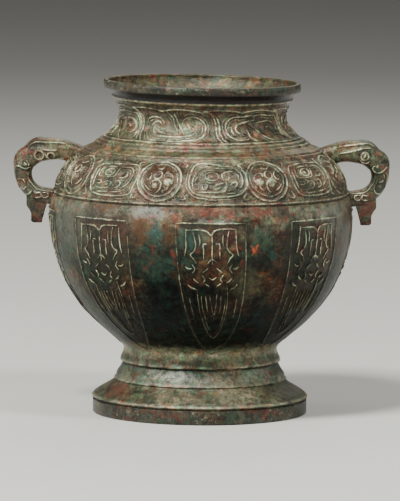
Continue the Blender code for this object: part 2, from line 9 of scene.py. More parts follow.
import bmesh
import bpy
import numpy as np
from mathutils import Matrix, Vector, kdtree, noise
from mathutils.geometry import delaunay_2d_cdt


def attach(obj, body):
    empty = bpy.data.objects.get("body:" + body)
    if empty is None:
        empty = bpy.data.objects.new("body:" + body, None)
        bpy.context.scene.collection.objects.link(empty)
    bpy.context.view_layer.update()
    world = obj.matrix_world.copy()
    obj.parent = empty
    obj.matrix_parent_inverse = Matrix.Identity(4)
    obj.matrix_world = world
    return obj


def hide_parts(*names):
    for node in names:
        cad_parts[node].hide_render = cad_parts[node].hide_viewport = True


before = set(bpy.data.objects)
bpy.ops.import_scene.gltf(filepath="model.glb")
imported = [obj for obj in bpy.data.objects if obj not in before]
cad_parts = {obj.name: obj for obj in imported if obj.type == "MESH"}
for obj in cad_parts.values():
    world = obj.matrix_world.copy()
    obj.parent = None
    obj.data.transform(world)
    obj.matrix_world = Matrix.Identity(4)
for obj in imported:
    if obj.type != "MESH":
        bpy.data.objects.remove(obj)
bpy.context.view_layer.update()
MM = 0.001

# Heights of the profile's stretches, from the ground up
FOOT_RIM_HEIGHT = 0.0130
FOOT_SLOPE_HEIGHT = 0.0111
STEP_HEIGHT = 0.0122
COLLAR_HEIGHT = 0.0110
BELLY_LOWER_HEIGHT = 0.0991
BELLY_UPPER_HEIGHT = 0.0141
SHOULDER_HEIGHT = 0.0301
PLAIN_BAND_HEIGHT = 0.0056
NECK_LOWER_HEIGHT = 0.0213
NECK_UPPER_HEIGHT = 0.0103
CAVETTO_HEIGHT = 0.0061
LIP_HEIGHT = 0.0061

# Radii where the stretches meet
FOOT_RADIUS = 0.0775
FOOT_SLOPE_TOP_RADIUS = 0.0620
STEP_TOP_RADIUS = 0.0566
COLLAR_RADIUS = 0.0583
WAIST_RADIUS = 0.0557
BELLY_RADIUS = 0.1097
SHOULDER_RADIUS = 0.1065
SHOULDER_TOP_RADIUS = 0.0863
NECK_FOOT_RADIUS = 0.0761
NECK_RADIUS = 0.0601
NECK_TOP_RADIUS = 0.0646
MOUTH_RADIUS = 0.0713
BEAD_RADIUS = 0.0781
BEAD_HEIGHT = 0.0016
GROOVE_RADIUS = 0.0764
GROOVE_HEIGHT = 0.0009

# Bends of the stretches: the angles they leave and arrive at, and how far each pull reaches as a share
FOOT_SLOPE_BEND = (132, 128, 0.28, 0.27)
STEP_BEND = (95, 112, 0.40, 0.60)
COLLAR_BEND = (90, 90, 0.40, 0.60)
BELLY_LOWER_BEND = (90, 90, 0.06, 0.61)
BELLY_UPPER_BEND = (90, 125, 0.25, 0.25)
SHOULDER_BEND = (102, 135, 0.60, 0.24)
NECK_LOWER_BEND = (145, 90, 0.60, 0.30)
NECK_UPPER_BEND = (90, 52, 0.10, 0.44)
CAVETTO_BEND = (70, 5, 0.40, 0.20)

WALL = 0.0030
LIP_WIDTH = 0.0036
FLOOR_RISE = 0.0040
FLOOR_THICKNESS = 0.0045
MOUTH_DIP = 0.017
RIDGE_WIDTH = 0.0024
RIDGE_HEIGHT = 0.0009
RIDGE_TINT = 0.45

# Roundings: steps outwards and upwards from the corner that they soften
FOOT_EDGE = ((-0.0006, 0.0), (0.0, 0.0008), (0.0, 0.0045))
BEAD_ROUNDING = 0.0003
BEAD_EDGE = 0.0002
SLOPE_INSET = 0.0008
STEP_BEAD = ((0.0005, 0.0004), (0.0006, 0.0009), (0.0001, 0.0014), (-0.0004, 0.0018))
LIP_UNDERCUT = (0.0005, 0.0006)
LIP_EDGE = ((0.0, -0.0030), (-0.0001, -0.0008), (-0.0006, -0.0001))
LIP_FLAT = 0.0012
MOUTH_EDGE = ((0.0008, 0.0), (0.0001, -0.0005), (0.0, -0.0014), (0.0, -0.0045))
FLOOR_EDGE = 0.0004
FLOOR_RINGS = (0.8, 0.5, 0.2)
HOLLOW_EDGE = ((0.0004, 0.0), (0.0, 0.0004), (0.0, 0.0018))
HOLLOW_START = 0.0020
CEILING_EDGE = 0.0010
CEILING_RINGS = (0.6, 0.2)

# Mouldings in equal steps up the profile: each step's lift as a share of the ridge, its crest and its recess
SHOULDER_GROOVE = ((0, -0.5, -0.7, -0.4, 0.2, 0.8, 1, 1), (0, 0, 0, 0, 0, 0.5, 0.8, 0.8),
                   (0.4, 1, 1, 1, 0.6, 0, 0, 0))
SHOULDER_FALL = ((1, 0.9, 0.3, 0, 0.5, 0.8, 0.8, 0.4, 0), (0.36, 0.3, 0.1, 0, 0.1, 0.3, 0.3, 0.1, 0),
                 (0, 0, 0.4, 1, 0.3, 0, 0, 0.3, 0.6))
NECK_FOOT_RIDGES = ((0, 0.5, 0.87, 1, 0.87, 0.5, 0, 0.5, 0.87, 1, 0.87, 0.5, 0),
                    (0, 0.1, 0.4, 0.7, 0.4, 0.1, 0, 0.1, 0.4, 0.7, 0.4, 0.1, 0),
                    (0.8, 0, 0, 0, 0, 0, 1, 0, 0, 0, 0, 0, 0.6))
NECK_RING = ((0, 0.5, 0.87, 1, 0.87, 0.5, 0), (0, 0, 0.5, 1, 0.5, 0, 0), (1, 0.5, 0, 0, 0, 0.5, 1))

STEP_FOOT = FOOT_RIM_HEIGHT + FOOT_SLOPE_HEIGHT
STEP_TOP = STEP_FOOT + STEP_HEIGHT
WAIST = STEP_TOP + COLLAR_HEIGHT
BELLY = WAIST + BELLY_LOWER_HEIGHT
SHOULDER = BELLY + BELLY_UPPER_HEIGHT
SHOULDER_TOP = SHOULDER + SHOULDER_HEIGHT
NECK_FOOT = SHOULDER_TOP + PLAIN_BAND_HEIGHT
NECK = NECK_FOOT + NECK_LOWER_HEIGHT
NECK_TOP = NECK + NECK_UPPER_HEIGHT
LIP = NECK_TOP + CAVETTO_HEIGHT
TOP = LIP + LIP_HEIGHT
INNER_FLOOR = WAIST + FLOOR_RISE
FOOT_CEILING = INNER_FLOOR - FLOOR_THICKNESS

# Point attributes: crest of a stroke, ground beside one, ground with red oxide, and the vessel's inside
TINTS = ("crest", "recess", "red", "inner")

# Fineness of the mesh
SIDES = 180
INNER_SIDES = 90
PROFILE_STEP = 0.0022
INNER_STEP = 0.0050
PLAIN_BAND_RINGS = 8
STROKE_SPACING = 0.0014
GRID_SPACING = 0.0036
GRID_CLEARANCE = 0.0010
CREST_SHARE = 0.30
RECESS_REACH = 0.0009
CURVE_STEPS = 10
MITRE_LIMIT = 0.6
# Rings of points in a small dome, as shares of its radius; a large one has its outer ring alone
DOME_RINGS = (1.0, 0.85, 0.6, 0.3)
DOME_SPACING = 0.0012
# A small dome's top takes the pale crest colour at this share: worn patina and a painted highlight
DOME_WEAR_AND_HIGHLIGHT = 0.75
LARGE_DOME = 0.0060
SHARP_ANGLE = 50

# Unevenness of a hand-made model: strokes wander, crests wear, and the casting is slightly out of round
WANDER = 0.00032
WANDER_LENGTH = 0.0060
WEAR = 0.50
WEAR_LENGTH = 0.012
WOBBLE = 0.00022
WOBBLE_MIDDLE = 1.2
# Waves of the unevenness: how many go round, how fast they turn with height, their start and their share
WOBBLE_WAVES = ((3, 40, 0.7, 1.0), (5, -71, 2.1, 1.0), (11, 130, 0.0, 0.6))
# Levels of the noise that wandering, width and wear are read at
WANDER_LEVELS = (3.7, 23.7)
WIDTH_LEVEL = 5.3
WEAR_LEVEL = 9.1
# A stroke's ends narrow to this share of its width, over this share of its length
TAPER = 0.35
TAPER_REACH = 0.32
WIDTH_WAVER = 0.35

# Widths and heights of the strokes
HAIR = (0.0011, 0.00050)
FINE = (0.0014, 0.00075)
BOLD = (0.0017, 0.00090)
BROAD = (0.0020, 0.00100)
SOFT = (0.0018, 0.00052)
# Filler lines run beside a stroke, at this distance, wherever nothing else is nearer than the clearance
FILLER_DISTANCE = 0.0021
FILLER_CLEARANCE = 0.0018
FILLER_LENGTH = 0.0040

BLADE_COUNT = 8
BLADE_TURN = 3.6
BLADE_HALF_WIDTH = 0.0250
BLADE_TOP_GAP = 0.0110
BLADE_TIP_GAP = 0.0036
BLADE_LEAN = 0.0118
LEAN_TURN = 20.0
BLADE_FULLNESS = 4.5
BLADES_MIRRORED = (3, 5)

BAND_UNIT_COUNT = 8
BAND_TURN = 5.2
NECK_UNIT_COUNT = 7
NECK_TURN = 9.0
NECK_SPREAD = 3.5
NECK_UNIT_SPAN = 51.0

# Strokes in a blade, from the middle of its top edge, drawn once
BLADE_STROKES = (
    ((-18, -4.8), (-11.5, -4.7), (-5, -5), (-2.4, -6), (0, -8.3), (2.5, -5.2), (5.7, -4.2),
     (12, -3.8), (17.6, -3.9)),
    ((0.6, -8.3), (0.4, -19), (0.4, -29.6)),
    ((-3, -28.5), (-0.6, -26), (1.2, -26), (4, -28.3)),
    ((-2.5, -39.3), (0.1, -41.2), (2.7, -39)),
    ((-12.6, -49), (-12.6, -56), (-12.2, -63), (-11.2, -71), (-9.7, -79), (-7, -88.5),
     (-3.6, -94.5), (-0.5, -96.6), (2.6, -94.5), (6, -88.5), (8.7, -79), (10.3, -71), (11.2, -63),
     (11.4, -56), (10.9, -45)),
    ((-2.8, -54), (-1.9, -62), (0, -72), (1.9, -62), (2.8, -53)),
)
# Strokes in a blade that are drawn on both sides of its middle
BLADE_PAIRS = (
    ((17.6, -3.9), (17.9, -12), (18.4, -18), (19.5, -23)),
    ((12.9, -5), (11.6, -11), (11.2, -16.5), (12.8, -20.3), (15.6, -22.3), (13.2, -25.2), (11.3, -29)),
    ((3.2, -14.6), (5.7, -14.4), (5.7, -20), (5.9, -25.2)),
    ((3.3, -32.3), (7.1, -35.5)),
    ((8, -37.6), (5.8, -41), (7.6, -43.4)),
    ((6.2, -44.1), (2.8, -46.6)),
    ((9.6, -54.5), (9.5, -63), (7.8, -74), (6, -82.5), (3.4, -88.6)),
    ((6.2, -54.5), (5.6, -64.8), (4.6, -70)),
    ((18.9, -56), (18.5, -65), (17.6, -74)),
    ((8.8, -8), (8.2, -12), (8.6, -16)),
    ((14.8, -29.5), (12.9, -33), (15, -36)),
)
BLADE_BOLD_PAIRS = (
    ((19.6, -31.2), (17.6, -32.8), (15.4, -32.5)),
    ((14.4, -40.3), (12.6, -42.4), (10.6, -43.4)),
    ((19, -45), (16.4, -47.6), (13.4, -48.7)),
)
BLADE_FILL = ((-21.5, -1), (21.5, -1), (20.5, -3.4), (5.7, -3.4), (0, -7.2), (-5, -4.2), (-20.5, -4.2))

# Strokes of the two cartouches, from the middle of the band
CARTOUCHE_A_FRAME = ((-11.7, 14.9), (-15.2, 11.5), (-17, 5), (-17.8, 0.5), (-17.3, -5), (-14.8, -9.2),
                     (-8, -11.8), (2, -12.6), (12, -12.2), (18.5, -10.2), (22.2, -6), (23.6, 0),
                     (23.2, 5.8), (20.2, 9.6), (14, 11.4), (6, 12.4), (-3, 14.4))
CARTOUCHE_A = (
    ((-13.4, 5.8), (-14.7, 1.5), (-15.2, -1.5), (-15, -5.5)),
    ((-0.5, 10), (8, 10.3), (15, 9.8), (19, 7.4), (20.4, 2), (19.6, -3.3), (17.6, -6.6), (14.6, -7.8)),
    ((-10.2, 1.2), (-9.6, 4.6), (-7.1, 7.2), (-2, 8.2), (3.9, 8)),
    ((6, 1), (5.9, 4.4), (8, 6.4), (15, 6.8), (17.6, 4.4), (17.4, 0.6)),
    ((7, 0.3), (10.2, 0.3), (10.8, 3.7), (14.7, 3.6)),
    ((11.9, -3.6), (13.4, -1.7), (15.6, -1.7), (16, -3.8), (14.6, -5.7)),
    ((-13.3, -3.5), (-11.3, -3.6), (-11.3, -7.2), (-13.2, -7.3)),
    ((-8.2, -3.8), (-8.2, -7), (-5.8, -7.2), (-4.6, -4.4)),
    ((-12, -9.6), (-4.2, -9.2), (2, -9.3), (6.8, -8.4), (8.4, -5.6), (8.4, -2.2)),
    ((1, -4.2), (3.9, -2.8), (6.8, -2.2)),
    ((-2.8, -6.4), (0.6, -6.9), (4.4, -5.8)),
    ((8.4, -10.2), (12.4, -9.9), (16.4, -9)),
)
CARTOUCHE_A_EYE = (-1.6, 3, 4.9, 3.4)
CARTOUCHE_B_FRAME = ((-15.4, 10), (-8, 11.4), (4, 11.9), (15.5, 11.6), (19.8, 10.6), (22, 7),
                     (21.9, 0.6), (20.6, -6), (18.8, -11.6), (13, -13.4), (2, -14.2), (-8, -13.8),
                     (-14.8, -12), (-17.6, -6.5), (-18.2, 1), (-17.6, 7))
CARTOUCHE_B = (
    ((6, 7.8), (10.4, 8.4), (15.7, 7.8), (18, 4.6), (17.4, -1.6), (15.6, -5), (11.6, -7.4)),
    ((11.8, 4), (13.9, 4.2), (13.9, 1.5), (12.3, 0), (9.8, -0.4), (6.7, 0)),
    ((4.9, 7.1), (3.9, 3.3), (3.2, 0.8), (0.8, -0.4), (-5.5, -0.7)),
    ((-11.4, 8), (-12.2, 3.8), (-12.4, 0.2), (-7.6, -0.5)),
    ((-9.4, 7.6), (-4, 8.9), (2.4, 8.3)),
    ((-12, -3.4), (-8.8, -3.5), (-7.4, -4.8), (-8.9, -6), (-12.2, -5.8)),
    ((-5.6, -5.6), (-3.4, -3.8), (0.8, -3.8), (1.8, -5.8), (0, -8.3), (-5, -9), (-11, -9.2)),
    ((3.3, -11.6), (8, -11.2), (12.8, -10.3)),
    ((4.6, -3.6), (7.6, -2.8), (9.6, -4.4), (8.6, -7.6), (5.4, -8.6)),
    ((-14.9, 6.6), (-15.3, 0), (-14.9, -8.6)),
    ((-9.6, -11.8), (-3, -11.9), (0.8, -11.6)),
)
CARTOUCHE_B_EYE = (-2.9, 3.6, 4.4, 3)
CARTOUCHE_KINDS = ((CARTOUCHE_A_FRAME, CARTOUCHE_A, CARTOUCHE_A_EYE),
                   (CARTOUCHE_B_FRAME, CARTOUCHE_B, CARTOUCHE_B_EYE))
PUPIL_SHARE = 0.6
PUPIL_HEIGHT = 0.0007

# Strokes of a roundel inside its two rings
ROUNDEL_OUTER = 16.1
ROUNDEL_INNER = 13.3
ROUNDEL_MIDDLE = (0, 0.5)
ROUNDEL_STROKES = (
    ((-8.4, 5.4), (-6.4, 4.7), (-5.6, 2), (-6.4, -0.6), (-8, -1.2), (-9.2, 0.2)),
    ((-4.6, 11.2), (-3.2, 9), (-0.9, 7.9), (1.5, 8.3), (2, 10.2)),
    ((4.5, 0.8), (4, 3), (5.5, 4.5), (7.8, 4.1), (9.8, 1.8), (10.2, -1.4), (9.4, -4)),
    ((-5.8, -4.4), (-4.1, -2.2), (-1.8, -1.3), (0.6, -1.8), (2.1, -3.8), (2.1, -6), (1.2, -8.4),
     (-0.6, -10.4)),
    ((-10.4, -4), (-8.2, -6.4), (-5.6, -8.4), (-3.8, -8.8)),
    ((4.4, -8.6), (6.4, -7.4), (7.6, -5.2)),
)
ROUNDEL_RING = (-0.8, 2.5, 3.1)
ROUNDEL_DROPS = ((-1.9, -5.4, 3, 0.0022), (-1.9, -3.6, 4.2, 0.0024))
ROUNDEL_SWELL = (6.9, -2.4, 4.2, 0.0011)
ROUNDEL_DISC = (*ROUNDEL_MIDDLE, 12.4, 0.0015)
ROUNDEL_FILL = ROUNDEL_INNER - 1
# Corner fillers between a roundel and the cartouches beside it, from the roundel's middle
FILLER_PAIRS = (
    ((15.6, 14.6), (19.6, 14.2), (17.2, 9.6)),
    ((15.6, -14.6), (19.4, -14.3), (17.2, -9.8)),
)

# Strokes of the two neck units, from a unit's left end and the zone's foot
NECK_A = (
    ((6, 17.5), (6.2, 21), (10, 23), (14, 23), (17, 21), (18, 17.5)),
    ((9.8, 17), (12, 20), (15, 19.8), (16.6, 17.6)),
    ((7, 12.5), (8, 9), (11, 5.4), (17, 4.2), (25, 4.2), (34, 5), (40, 6.2), (43.2, 9.4),
     (44.8, 14), (44.6, 18.4), (42, 22), (38, 24), (34, 23.8), (31, 21.4), (29.4, 17)),
    ((12.4, 17.6), (11.2, 14), (13.2, 10), (17, 8.8), (24, 8.2), (31, 8.8), (36.4, 10.4), (39.2, 14.2),
     (38.2, 17.4), (35.8, 18.4)),
    ((13.4, 14.6), (16, 12.2), (19.4, 12.4)),
    ((19.8, 28), (22, 25), (24.2, 21.6), (25.6, 17), (28.2, 11.4)),
    ((24.6, 26), (27.4, 19.6), (30.8, 11.8)),
    ((33.2, 19.2), (34.6, 15.6), (32.8, 13.2)),
)
NECK_B = (
    ((46, 24.4), (37, 25.2), (27, 25.2), (19, 24.5), (12.6, 24), (8.6, 21.8), (6.8, 18.2), (6.8, 13.8),
     (8, 9.2), (11, 6.2), (15, 5.2), (19, 6), (21.6, 7.4)),
    ((29, 22), (21.6, 20.6), (15.6, 19.2), (12.8, 16), (13.8, 12.8), (16.2, 11.4), (18.6, 12.6)),
    ((21.2, 15.6), (21.2, 10.4), (22.4, 6.4), (25, 4.2)),
    ((24, 17.4), (27.2, 15), (30.2, 11.2), (32.8, 7.6), (37.6, 3.4)),
    ((27.4, 19), (33.6, 20.2), (39.8, 20.6), (44.8, 18.4), (46.8, 15), (45.6, 11.2), (42, 9.8)),
    ((46.4, 24.2), (49.6, 20), (50.4, 15), (49.6, 10), (50.4, 6)),
    ((36.2, 15.8), (39.6, 16.2), (41.2, 14)),
    ((10.6, 16.8), (10.4, 13.2), (12.2, 10)),
)
NECK_DIVIDER = (
    ((-9, 29.6), (-5.6, 28.4), (-2, 25), (0.2, 20), (0.4, 14), (0.6, 9.4), (3.2, 2.6)),
    ((-3, 27.6), (1.2, 23.2), (2.6, 18.4), (2.6, 12), (4, 6.6), (6.4, 2.4)),
)
NECK_TOP_LINE = 28.4
NECK_BOTTOM_LINE = 1.8
NECK_SCALLOPS = 13
NECK_SCALLOP_SWING = 1.1

# Handles: the loop's middle line as (distance from the axis, height, half thickness, half depth)
LOOP_PATH = (
    (0.0840, 0.1845, 0.0070, 0.0070),
    (0.1022, 0.1898, 0.0078, 0.0076),
    (0.1123, 0.1898, 0.0086, 0.0084),
    (0.1177, 0.1892, 0.0093, 0.0086),
    (0.1227, 0.1857, 0.0082, 0.0082),
    (0.1273, 0.1817, 0.0085, 0.0074),
    (0.1288, 0.1751, 0.0069, 0.0064),
    (0.1286, 0.1705, 0.0064, 0.0060),
    (0.1267, 0.1650, 0.0060, 0.0060),
    (0.1236, 0.1610, 0.0059, 0.0060),
    (0.1185, 0.1575, 0.0061, 0.0060),
    (0.1000, 0.1545, 0.0060, 0.0058),
)
LOOP_SQUARENESS = 2.6
LOOP_MARGIN = 0.0002
LOOP_GIRTH_RADIUS = 0.0072
LOOP_SPACING = 0.0015
LOOP_SEAM_STEPS = 60
LOOP_PATH_SPACING = 0.0012
LOOP_END_STEPS = 24
TAB_DISTANCE = 0.1181
TAB_TOP = 0.1560
TAB_SHOULDER = 0.1490
TAB_WAIST = 0.1437
TAB_BOTTOM = 0.1366
TAB_TOP_HALF_WIDTH = 0.0073
TAB_TOP_SHIFT = 0.0009
TAB_HALF_WIDTH = 0.0040
TAB_FLARE = 0.0009
TAB_FLARE_HEIGHT = 0.0012
TAB_DEPTH = 0.0080
TAB_EDGE = 0.0007
TAB_LONGEST_EDGE = 0.0030

# Strokes on a handle's sides, as (distance from the axis, height) in millimetres
HANDLE_SHARED = (
    ((125.1, 173.2), (125.1, 169.5), (122.5, 164.9), (118.8, 161.2), (115.1, 160), (107, 159.2)),
)
HANDLE_LEFT = (
    ((98, 194.2), (106, 194.8), (114, 195), (119.8, 195), (122.8, 193.4), (124, 191)),
    ((103, 189.3), (110, 189.5), (117.4, 190.4)),
    ((99.5, 183.2), (103, 183.3), (106.3, 183)),
    ((113.2, 187.6), (112.2, 185.6), (111.3, 183.6)),
    ((127.9, 181.8), (126.1, 181.5), (124.5, 179.7), (124.8, 177.9)),
    ((134.2, 182.2), (134.4, 178.8), (134.2, 172.5), (133.2, 166.6), (131.2, 162)),
    ((132.1, 168), (129.7, 168.4), (128, 167.2), (126.8, 164.2)),
    ((130.2, 162.4), (128.4, 161), (126, 162.6)),
    ((127.4, 157.8), (124.9, 157.8), (122.5, 159.6)),
    ((120.6, 158.4), (116.2, 158.6), (116, 155.6), (120.2, 155.2)),
    ((115, 158.4), (110.8, 158.2), (110.8, 155.2), (114.8, 155.4), (114.6, 157)),
)
HANDLE_RIGHT = (
    ((98, 193.2), (106, 194.6), (114, 195.6), (120, 195.8), (123.8, 193.8)),
    ((99, 188.4), (106, 190.2), (113, 191.6), (121.2, 192.6)),
    ((113.9, 184.4), (116, 182.4), (118.6, 182), (121, 183.8)),
    ((126.4, 172.4), (126.7, 169), (125.5, 166.1), (124.5, 163.2), (125.5, 160.4), (127.1, 159.6),
     (129.1, 160.6)),
    ((131.2, 174.2), (131.7, 171.7), (131, 168.8), (129, 167.8), (127.9, 168.4)),
    ((132.6, 175), (133.8, 173.2), (133.3, 168.8), (132, 163.9)),
    ((120.6, 158.4), (116.2, 158.6), (116, 155.6), (120.2, 155.2)),
    ((115, 158.4), (110.8, 158.2), (110.8, 155.2), (114.8, 155.4), (114.6, 157)),
)
COLLAR_LEFT = ((133.9, 177.4), (131.9, 177.8), (129.7, 176.8), (127.6, 175.9), (126.2, 176), (124.8, 176.8),
               (123.2, 177.2))
COLLAR_RIGHT = ((125.4, 180.2), (123.9, 179.6), (123.5, 177.8), (124.4, 175.8), (126.7, 174.9),
                (129.3, 175.3), (131.8, 176.9), (133.4, 179.4))
EYE_LEFT = (117.1, 186, 3.3)
EYE_SECOND = (108.7, 185.3, 2.5)
EYE_RIGHT = (117.5, 187, 2.8)
EYE_RIM = 0.9
EYE_DOME_HEIGHT = 0.0018
EYE_PIT_HEIGHT = -0.0009
NOSTRIL = ((127, 179.2), 1.7, 0.0008)
# Ground with red oxide on a handle's lower arm
HANDLE_FILL = ((111.4, 155), (122, 154.4), (122, 159), (111.4, 159))

# Camera: distance, height angle, lens and the point it looks at, as the photograph shows the vase
CAMERA_DISTANCE = 3.71
CAMERA_ELEVATION = 6.07
CAMERA_LENS = 368.6
CAMERA_SENSOR = 36.0
CAMERA_AIM = (-0.00065, 0.0, 0.1170)
CAMERA_ROLL = 0.5

# The studio: lights as a name, a place, the side of the square and the power in watts
FLOOR_RADIUS = 14.0
FLOOR_COLOUR = (0.52, 0.51, 0.49)
LIGHT_COLOUR = (0.97, 0.98, 0.93)
LIGHTS = (
    ("key", (-0.9, -1.4, 2.4), 0.55, 140.0),
    ("fill", (1.1, -1.2, 2.2), 0.5, 42.0),
    ("low", (-1.5, -1.7, 0.6), 0.45, 10.0),
    ("left", (-2.0, 0.5, 1.0), 0.7, 10.0),
    ("right", (2.0, 0.6, 1.0), 0.7, 6.0),
    ("back", (0.3, 1.9, 1.8), 1.2, 16.0),
)
SKY_COLOUR = (0.80, 0.79, 0.76)
SKY_STRENGTH = 0.13


def unit(vectors):
    return vectors / np.maximum(np.linalg.norm(vectors, axis=-1, keepdims=True), 1e-12)


def curve(start, end, bend, step):
    """A smooth run between two (radius, height) points; each pull of its bend is a share of the chord."""
    start_angle, end_angle, start_pull, end_pull = bend
    first, last = np.array(start), np.array(end)
    chord = np.linalg.norm(last - first)
    leaving = np.array([math.cos(math.radians(start_angle)), math.sin(math.radians(start_angle))])
    arriving = np.array([math.cos(math.radians(end_angle)), math.sin(math.radians(end_angle))])
    second = first + leaving * chord * start_pull
    third = last - arriving * chord * end_pull
    t = np.linspace(0.0, 1.0, max(4, round(chord / step)) + 1)[:, None]
    return (1 - t) ** 3 * first + 3 * (1 - t) ** 2 * t * second + 3 * (1 - t) * t * t * third + t ** 3 * last


def beside_corner(radius, height, steps):
    """Points at small steps outwards and upwards from a corner."""
    return [(radius + out, height + up) for out, up in steps]


def foot_profile(step):
    """The foot from the ground to the waist: rim, slope, step and collar."""
    bead = FOOT_RIM_HEIGHT - BEAD_HEIGHT
    bead_side = BEAD_RADIUS - BEAD_ROUNDING
    rim = beside_corner(FOOT_RADIUS, 0.0, FOOT_EDGE)
    rim += [(FOOT_RADIUS, bead - 2 * GROOVE_HEIGHT), (GROOVE_RADIUS, bead - GROOVE_HEIGHT),
            (GROOVE_RADIUS + BEAD_ROUNDING, bead - BEAD_ROUNDING), (bead_side, bead + BEAD_EDGE),
            (BEAD_RADIUS, bead + BEAD_HEIGHT / 2), (bead_side, FOOT_RIM_HEIGHT - BEAD_EDGE)]
    slope = curve((BEAD_RADIUS - SLOPE_INSET, FOOT_RIM_HEIGHT + BEAD_ROUNDING),
                  (FOOT_SLOPE_TOP_RADIUS, STEP_FOOT), FOOT_SLOPE_BEND, step)
    *small_bead, start = beside_corner(FOOT_SLOPE_TOP_RADIUS, STEP_FOOT, STEP_BEAD)
    rise = curve(start, (STEP_TOP_RADIUS, STEP_TOP), STEP_BEND, step)
    ledge = STEP_TOP + COLLAR_RADIUS - STEP_TOP_RADIUS
    collar = curve((COLLAR_RADIUS, ledge), (WAIST_RADIUS, WAIST), COLLAR_BEND, step)
    return [rim, slope, small_bead, rise, collar]


def belly_profile(step):
    """The belly from the waist to the edge of the shoulder."""
    lower = curve((WAIST_RADIUS, WAIST), (BELLY_RADIUS, BELLY), BELLY_LOWER_BEND, step)
    upper = curve(lower[-1], (SHOULDER_RADIUS, SHOULDER), BELLY_UPPER_BEND, step)
    return [lower, upper]


def shoulder_profile(step):
    """The sloping shoulder and the plain band above it."""
    slope = curve((SHOULDER_RADIUS, SHOULDER), (SHOULDER_TOP_RADIUS, SHOULDER_TOP), SHOULDER_BEND, step)
    return [slope, np.linspace(slope[-1], (NECK_FOOT_RADIUS, NECK_FOOT), 5)]


def neck_profile(step):
    """The neck from its foot to the thin ring under the lip."""
    lower = curve((NECK_FOOT_RADIUS, NECK_FOOT), (NECK_RADIUS, NECK), NECK_LOWER_BEND, step)
    upper = curve(lower[-1], (NECK_TOP_RADIUS, NECK_TOP), NECK_UPPER_BEND, step)
    return [lower, upper]


def lip_profile(step):
    """The hollow under the lip and the upright lip with its rounded edges."""
    back, rise = LIP_UNDERCUT
    cavetto = curve((NECK_TOP_RADIUS, NECK_TOP), (MOUTH_RADIUS - back, LIP), CAVETTO_BEND, step)
    return [cavetto, [(MOUTH_RADIUS, LIP + rise)] + beside_corner(MOUTH_RADIUS, TOP, LIP_EDGE)]


def joined(runs):
    """One array of points from several runs, without the repeated ends."""
    points = []
    for point in (tuple(point) for run in runs for point in run):
        if not points or math.dist(points[-1], point) > 1e-6:
            points.append(point)
    return np.array(points)


class Profile:
    """A profile of (radius, height) points, measured by the length along it."""

    def __init__(self, points):
        self.points = points
        steps = np.linalg.norm(np.diff(points, axis=0), axis=1)
        self.lengths = np.concatenate([[0.0], np.cumsum(steps)])

    def length_at(self, height):
        return float(np.interp(height, self.points[:, 1], self.lengths))

    def place(self, lengths, lifts=0.0):
        """The (radius, height) points at some lengths, lifted square off the profile."""
        nudge = 0.0008
        lengths = np.atleast_1d(np.asarray(lengths, dtype=float))

        def at(where):
            where = where.clip(0.0, self.lengths[-1])
            return np.stack([np.interp(where, self.lengths, self.points[:, i]) for i in (0, 1)], axis=1)

        along = unit(at(lengths + nudge) - at(lengths - nudge))
        return at(lengths) + np.stack([along[:, 1], -along[:, 0]], axis=1) * np.reshape(lifts, (-1, 1))


def around(stations, turns):
    """Points at (radius, height) stations and turns in radians, with the casting's dip and unevenness."""
    radius, height = stations[:, 0], stations[:, 1]
    share = np.clip((height - SHOULDER_TOP) / (LIP - SHOULDER_TOP), 0.0, 1.0)
    above_rim = np.clip((height - FOOT_RIM_HEIGHT) / FOOT_RIM_HEIGHT, 0.0, 1.0)
    waves = sum(part * np.sin(count * turns + rate * height + start)
                for count, rate, start, part in WOBBLE_WAVES)
    radius = radius + WOBBLE * above_rim * (waves - WOBBLE_MIDDLE)
    x = radius * np.sin(turns)
    dip = MOUTH_DIP * x * share * share * (3 - 2 * share)
    return np.stack([x, -radius * np.cos(turns), height - dip], axis=1)


def rounded(path, closed):
    """A fine smooth line through the points of a path."""
    if len(path) < 3:
        return path
    if closed:
        padded = np.vstack([path[-1:], path, path[:2]])
    else:
        padded = np.vstack([2 * path[0] - path[1], path, 2 * path[-1] - path[-2]])
    t = np.linspace(0.0, 1.0, CURVE_STEPS, endpoint=False)[:, None]
    fine = []
    for before, start, end, after in zip(padded, padded[1:], padded[2:], padded[3:]):
        gaps = [math.dist(before, start), math.dist(start, end), math.dist(end, after)]
        first, middle, last = np.sqrt(np.maximum(gaps, 1e-9))
        leave = (start - before) / first - (end - before) / (first + middle) + (end - start) / middle
        arrive = (end - start) / middle - (after - start) / (middle + last) + (after - end) / last
        fine.append((2 * t ** 3 - 3 * t ** 2 + 1) * start + (t ** 3 - 2 * t ** 2 + t) * leave * middle
                    + (3 * t ** 2 - 2 * t ** 3) * end + (t ** 3 - t ** 2) * arrive * middle)
    if not closed:
        fine.append(path[-1:])
    return np.vstack(fine)


def spaced(path, spacing, closed):
    """Points at even distances along a line."""
    if closed:
        path = np.vstack([path, path[:1]])
    lengths = np.concatenate([[0.0], np.cumsum(np.linalg.norm(np.diff(path, axis=0), axis=1))])
    count = max(2, round(lengths[-1] / spacing))
    wanted = np.linspace(0.0, lengths[-1], count + 1)
    if closed:
        wanted = wanted[:-1]
    return np.stack([np.interp(wanted, lengths, path[:, i]) for i in range(path.shape[1])], axis=1)


def beside(path, distance, closed):
    """The line at a distance to the left of a flat path, with mitred corners."""
    if closed:
        before, after = np.roll(path, 1, axis=0), np.roll(path, -1, axis=0)
    else:
        before = np.vstack([2 * path[0] - path[1], path[:-1]])
        after = np.vstack([path[1:], 2 * path[-1] - path[-2]])
    first = unit(path - before)
    mean = unit(first + unit(after - path))
    spread = np.maximum((first * mean).sum(axis=1), MITRE_LIMIT)
    return path + np.stack([-mean[:, 1], mean[:, 0]], axis=1) * (distance / spread)[:, None]


def oval(centre, half_width, half_height, steps=24):
    turns = np.linspace(0.0, 2 * math.pi, steps, endpoint=False)
    return np.array(centre) + np.stack([half_width * np.cos(turns), half_height * np.sin(turns)], axis=1)


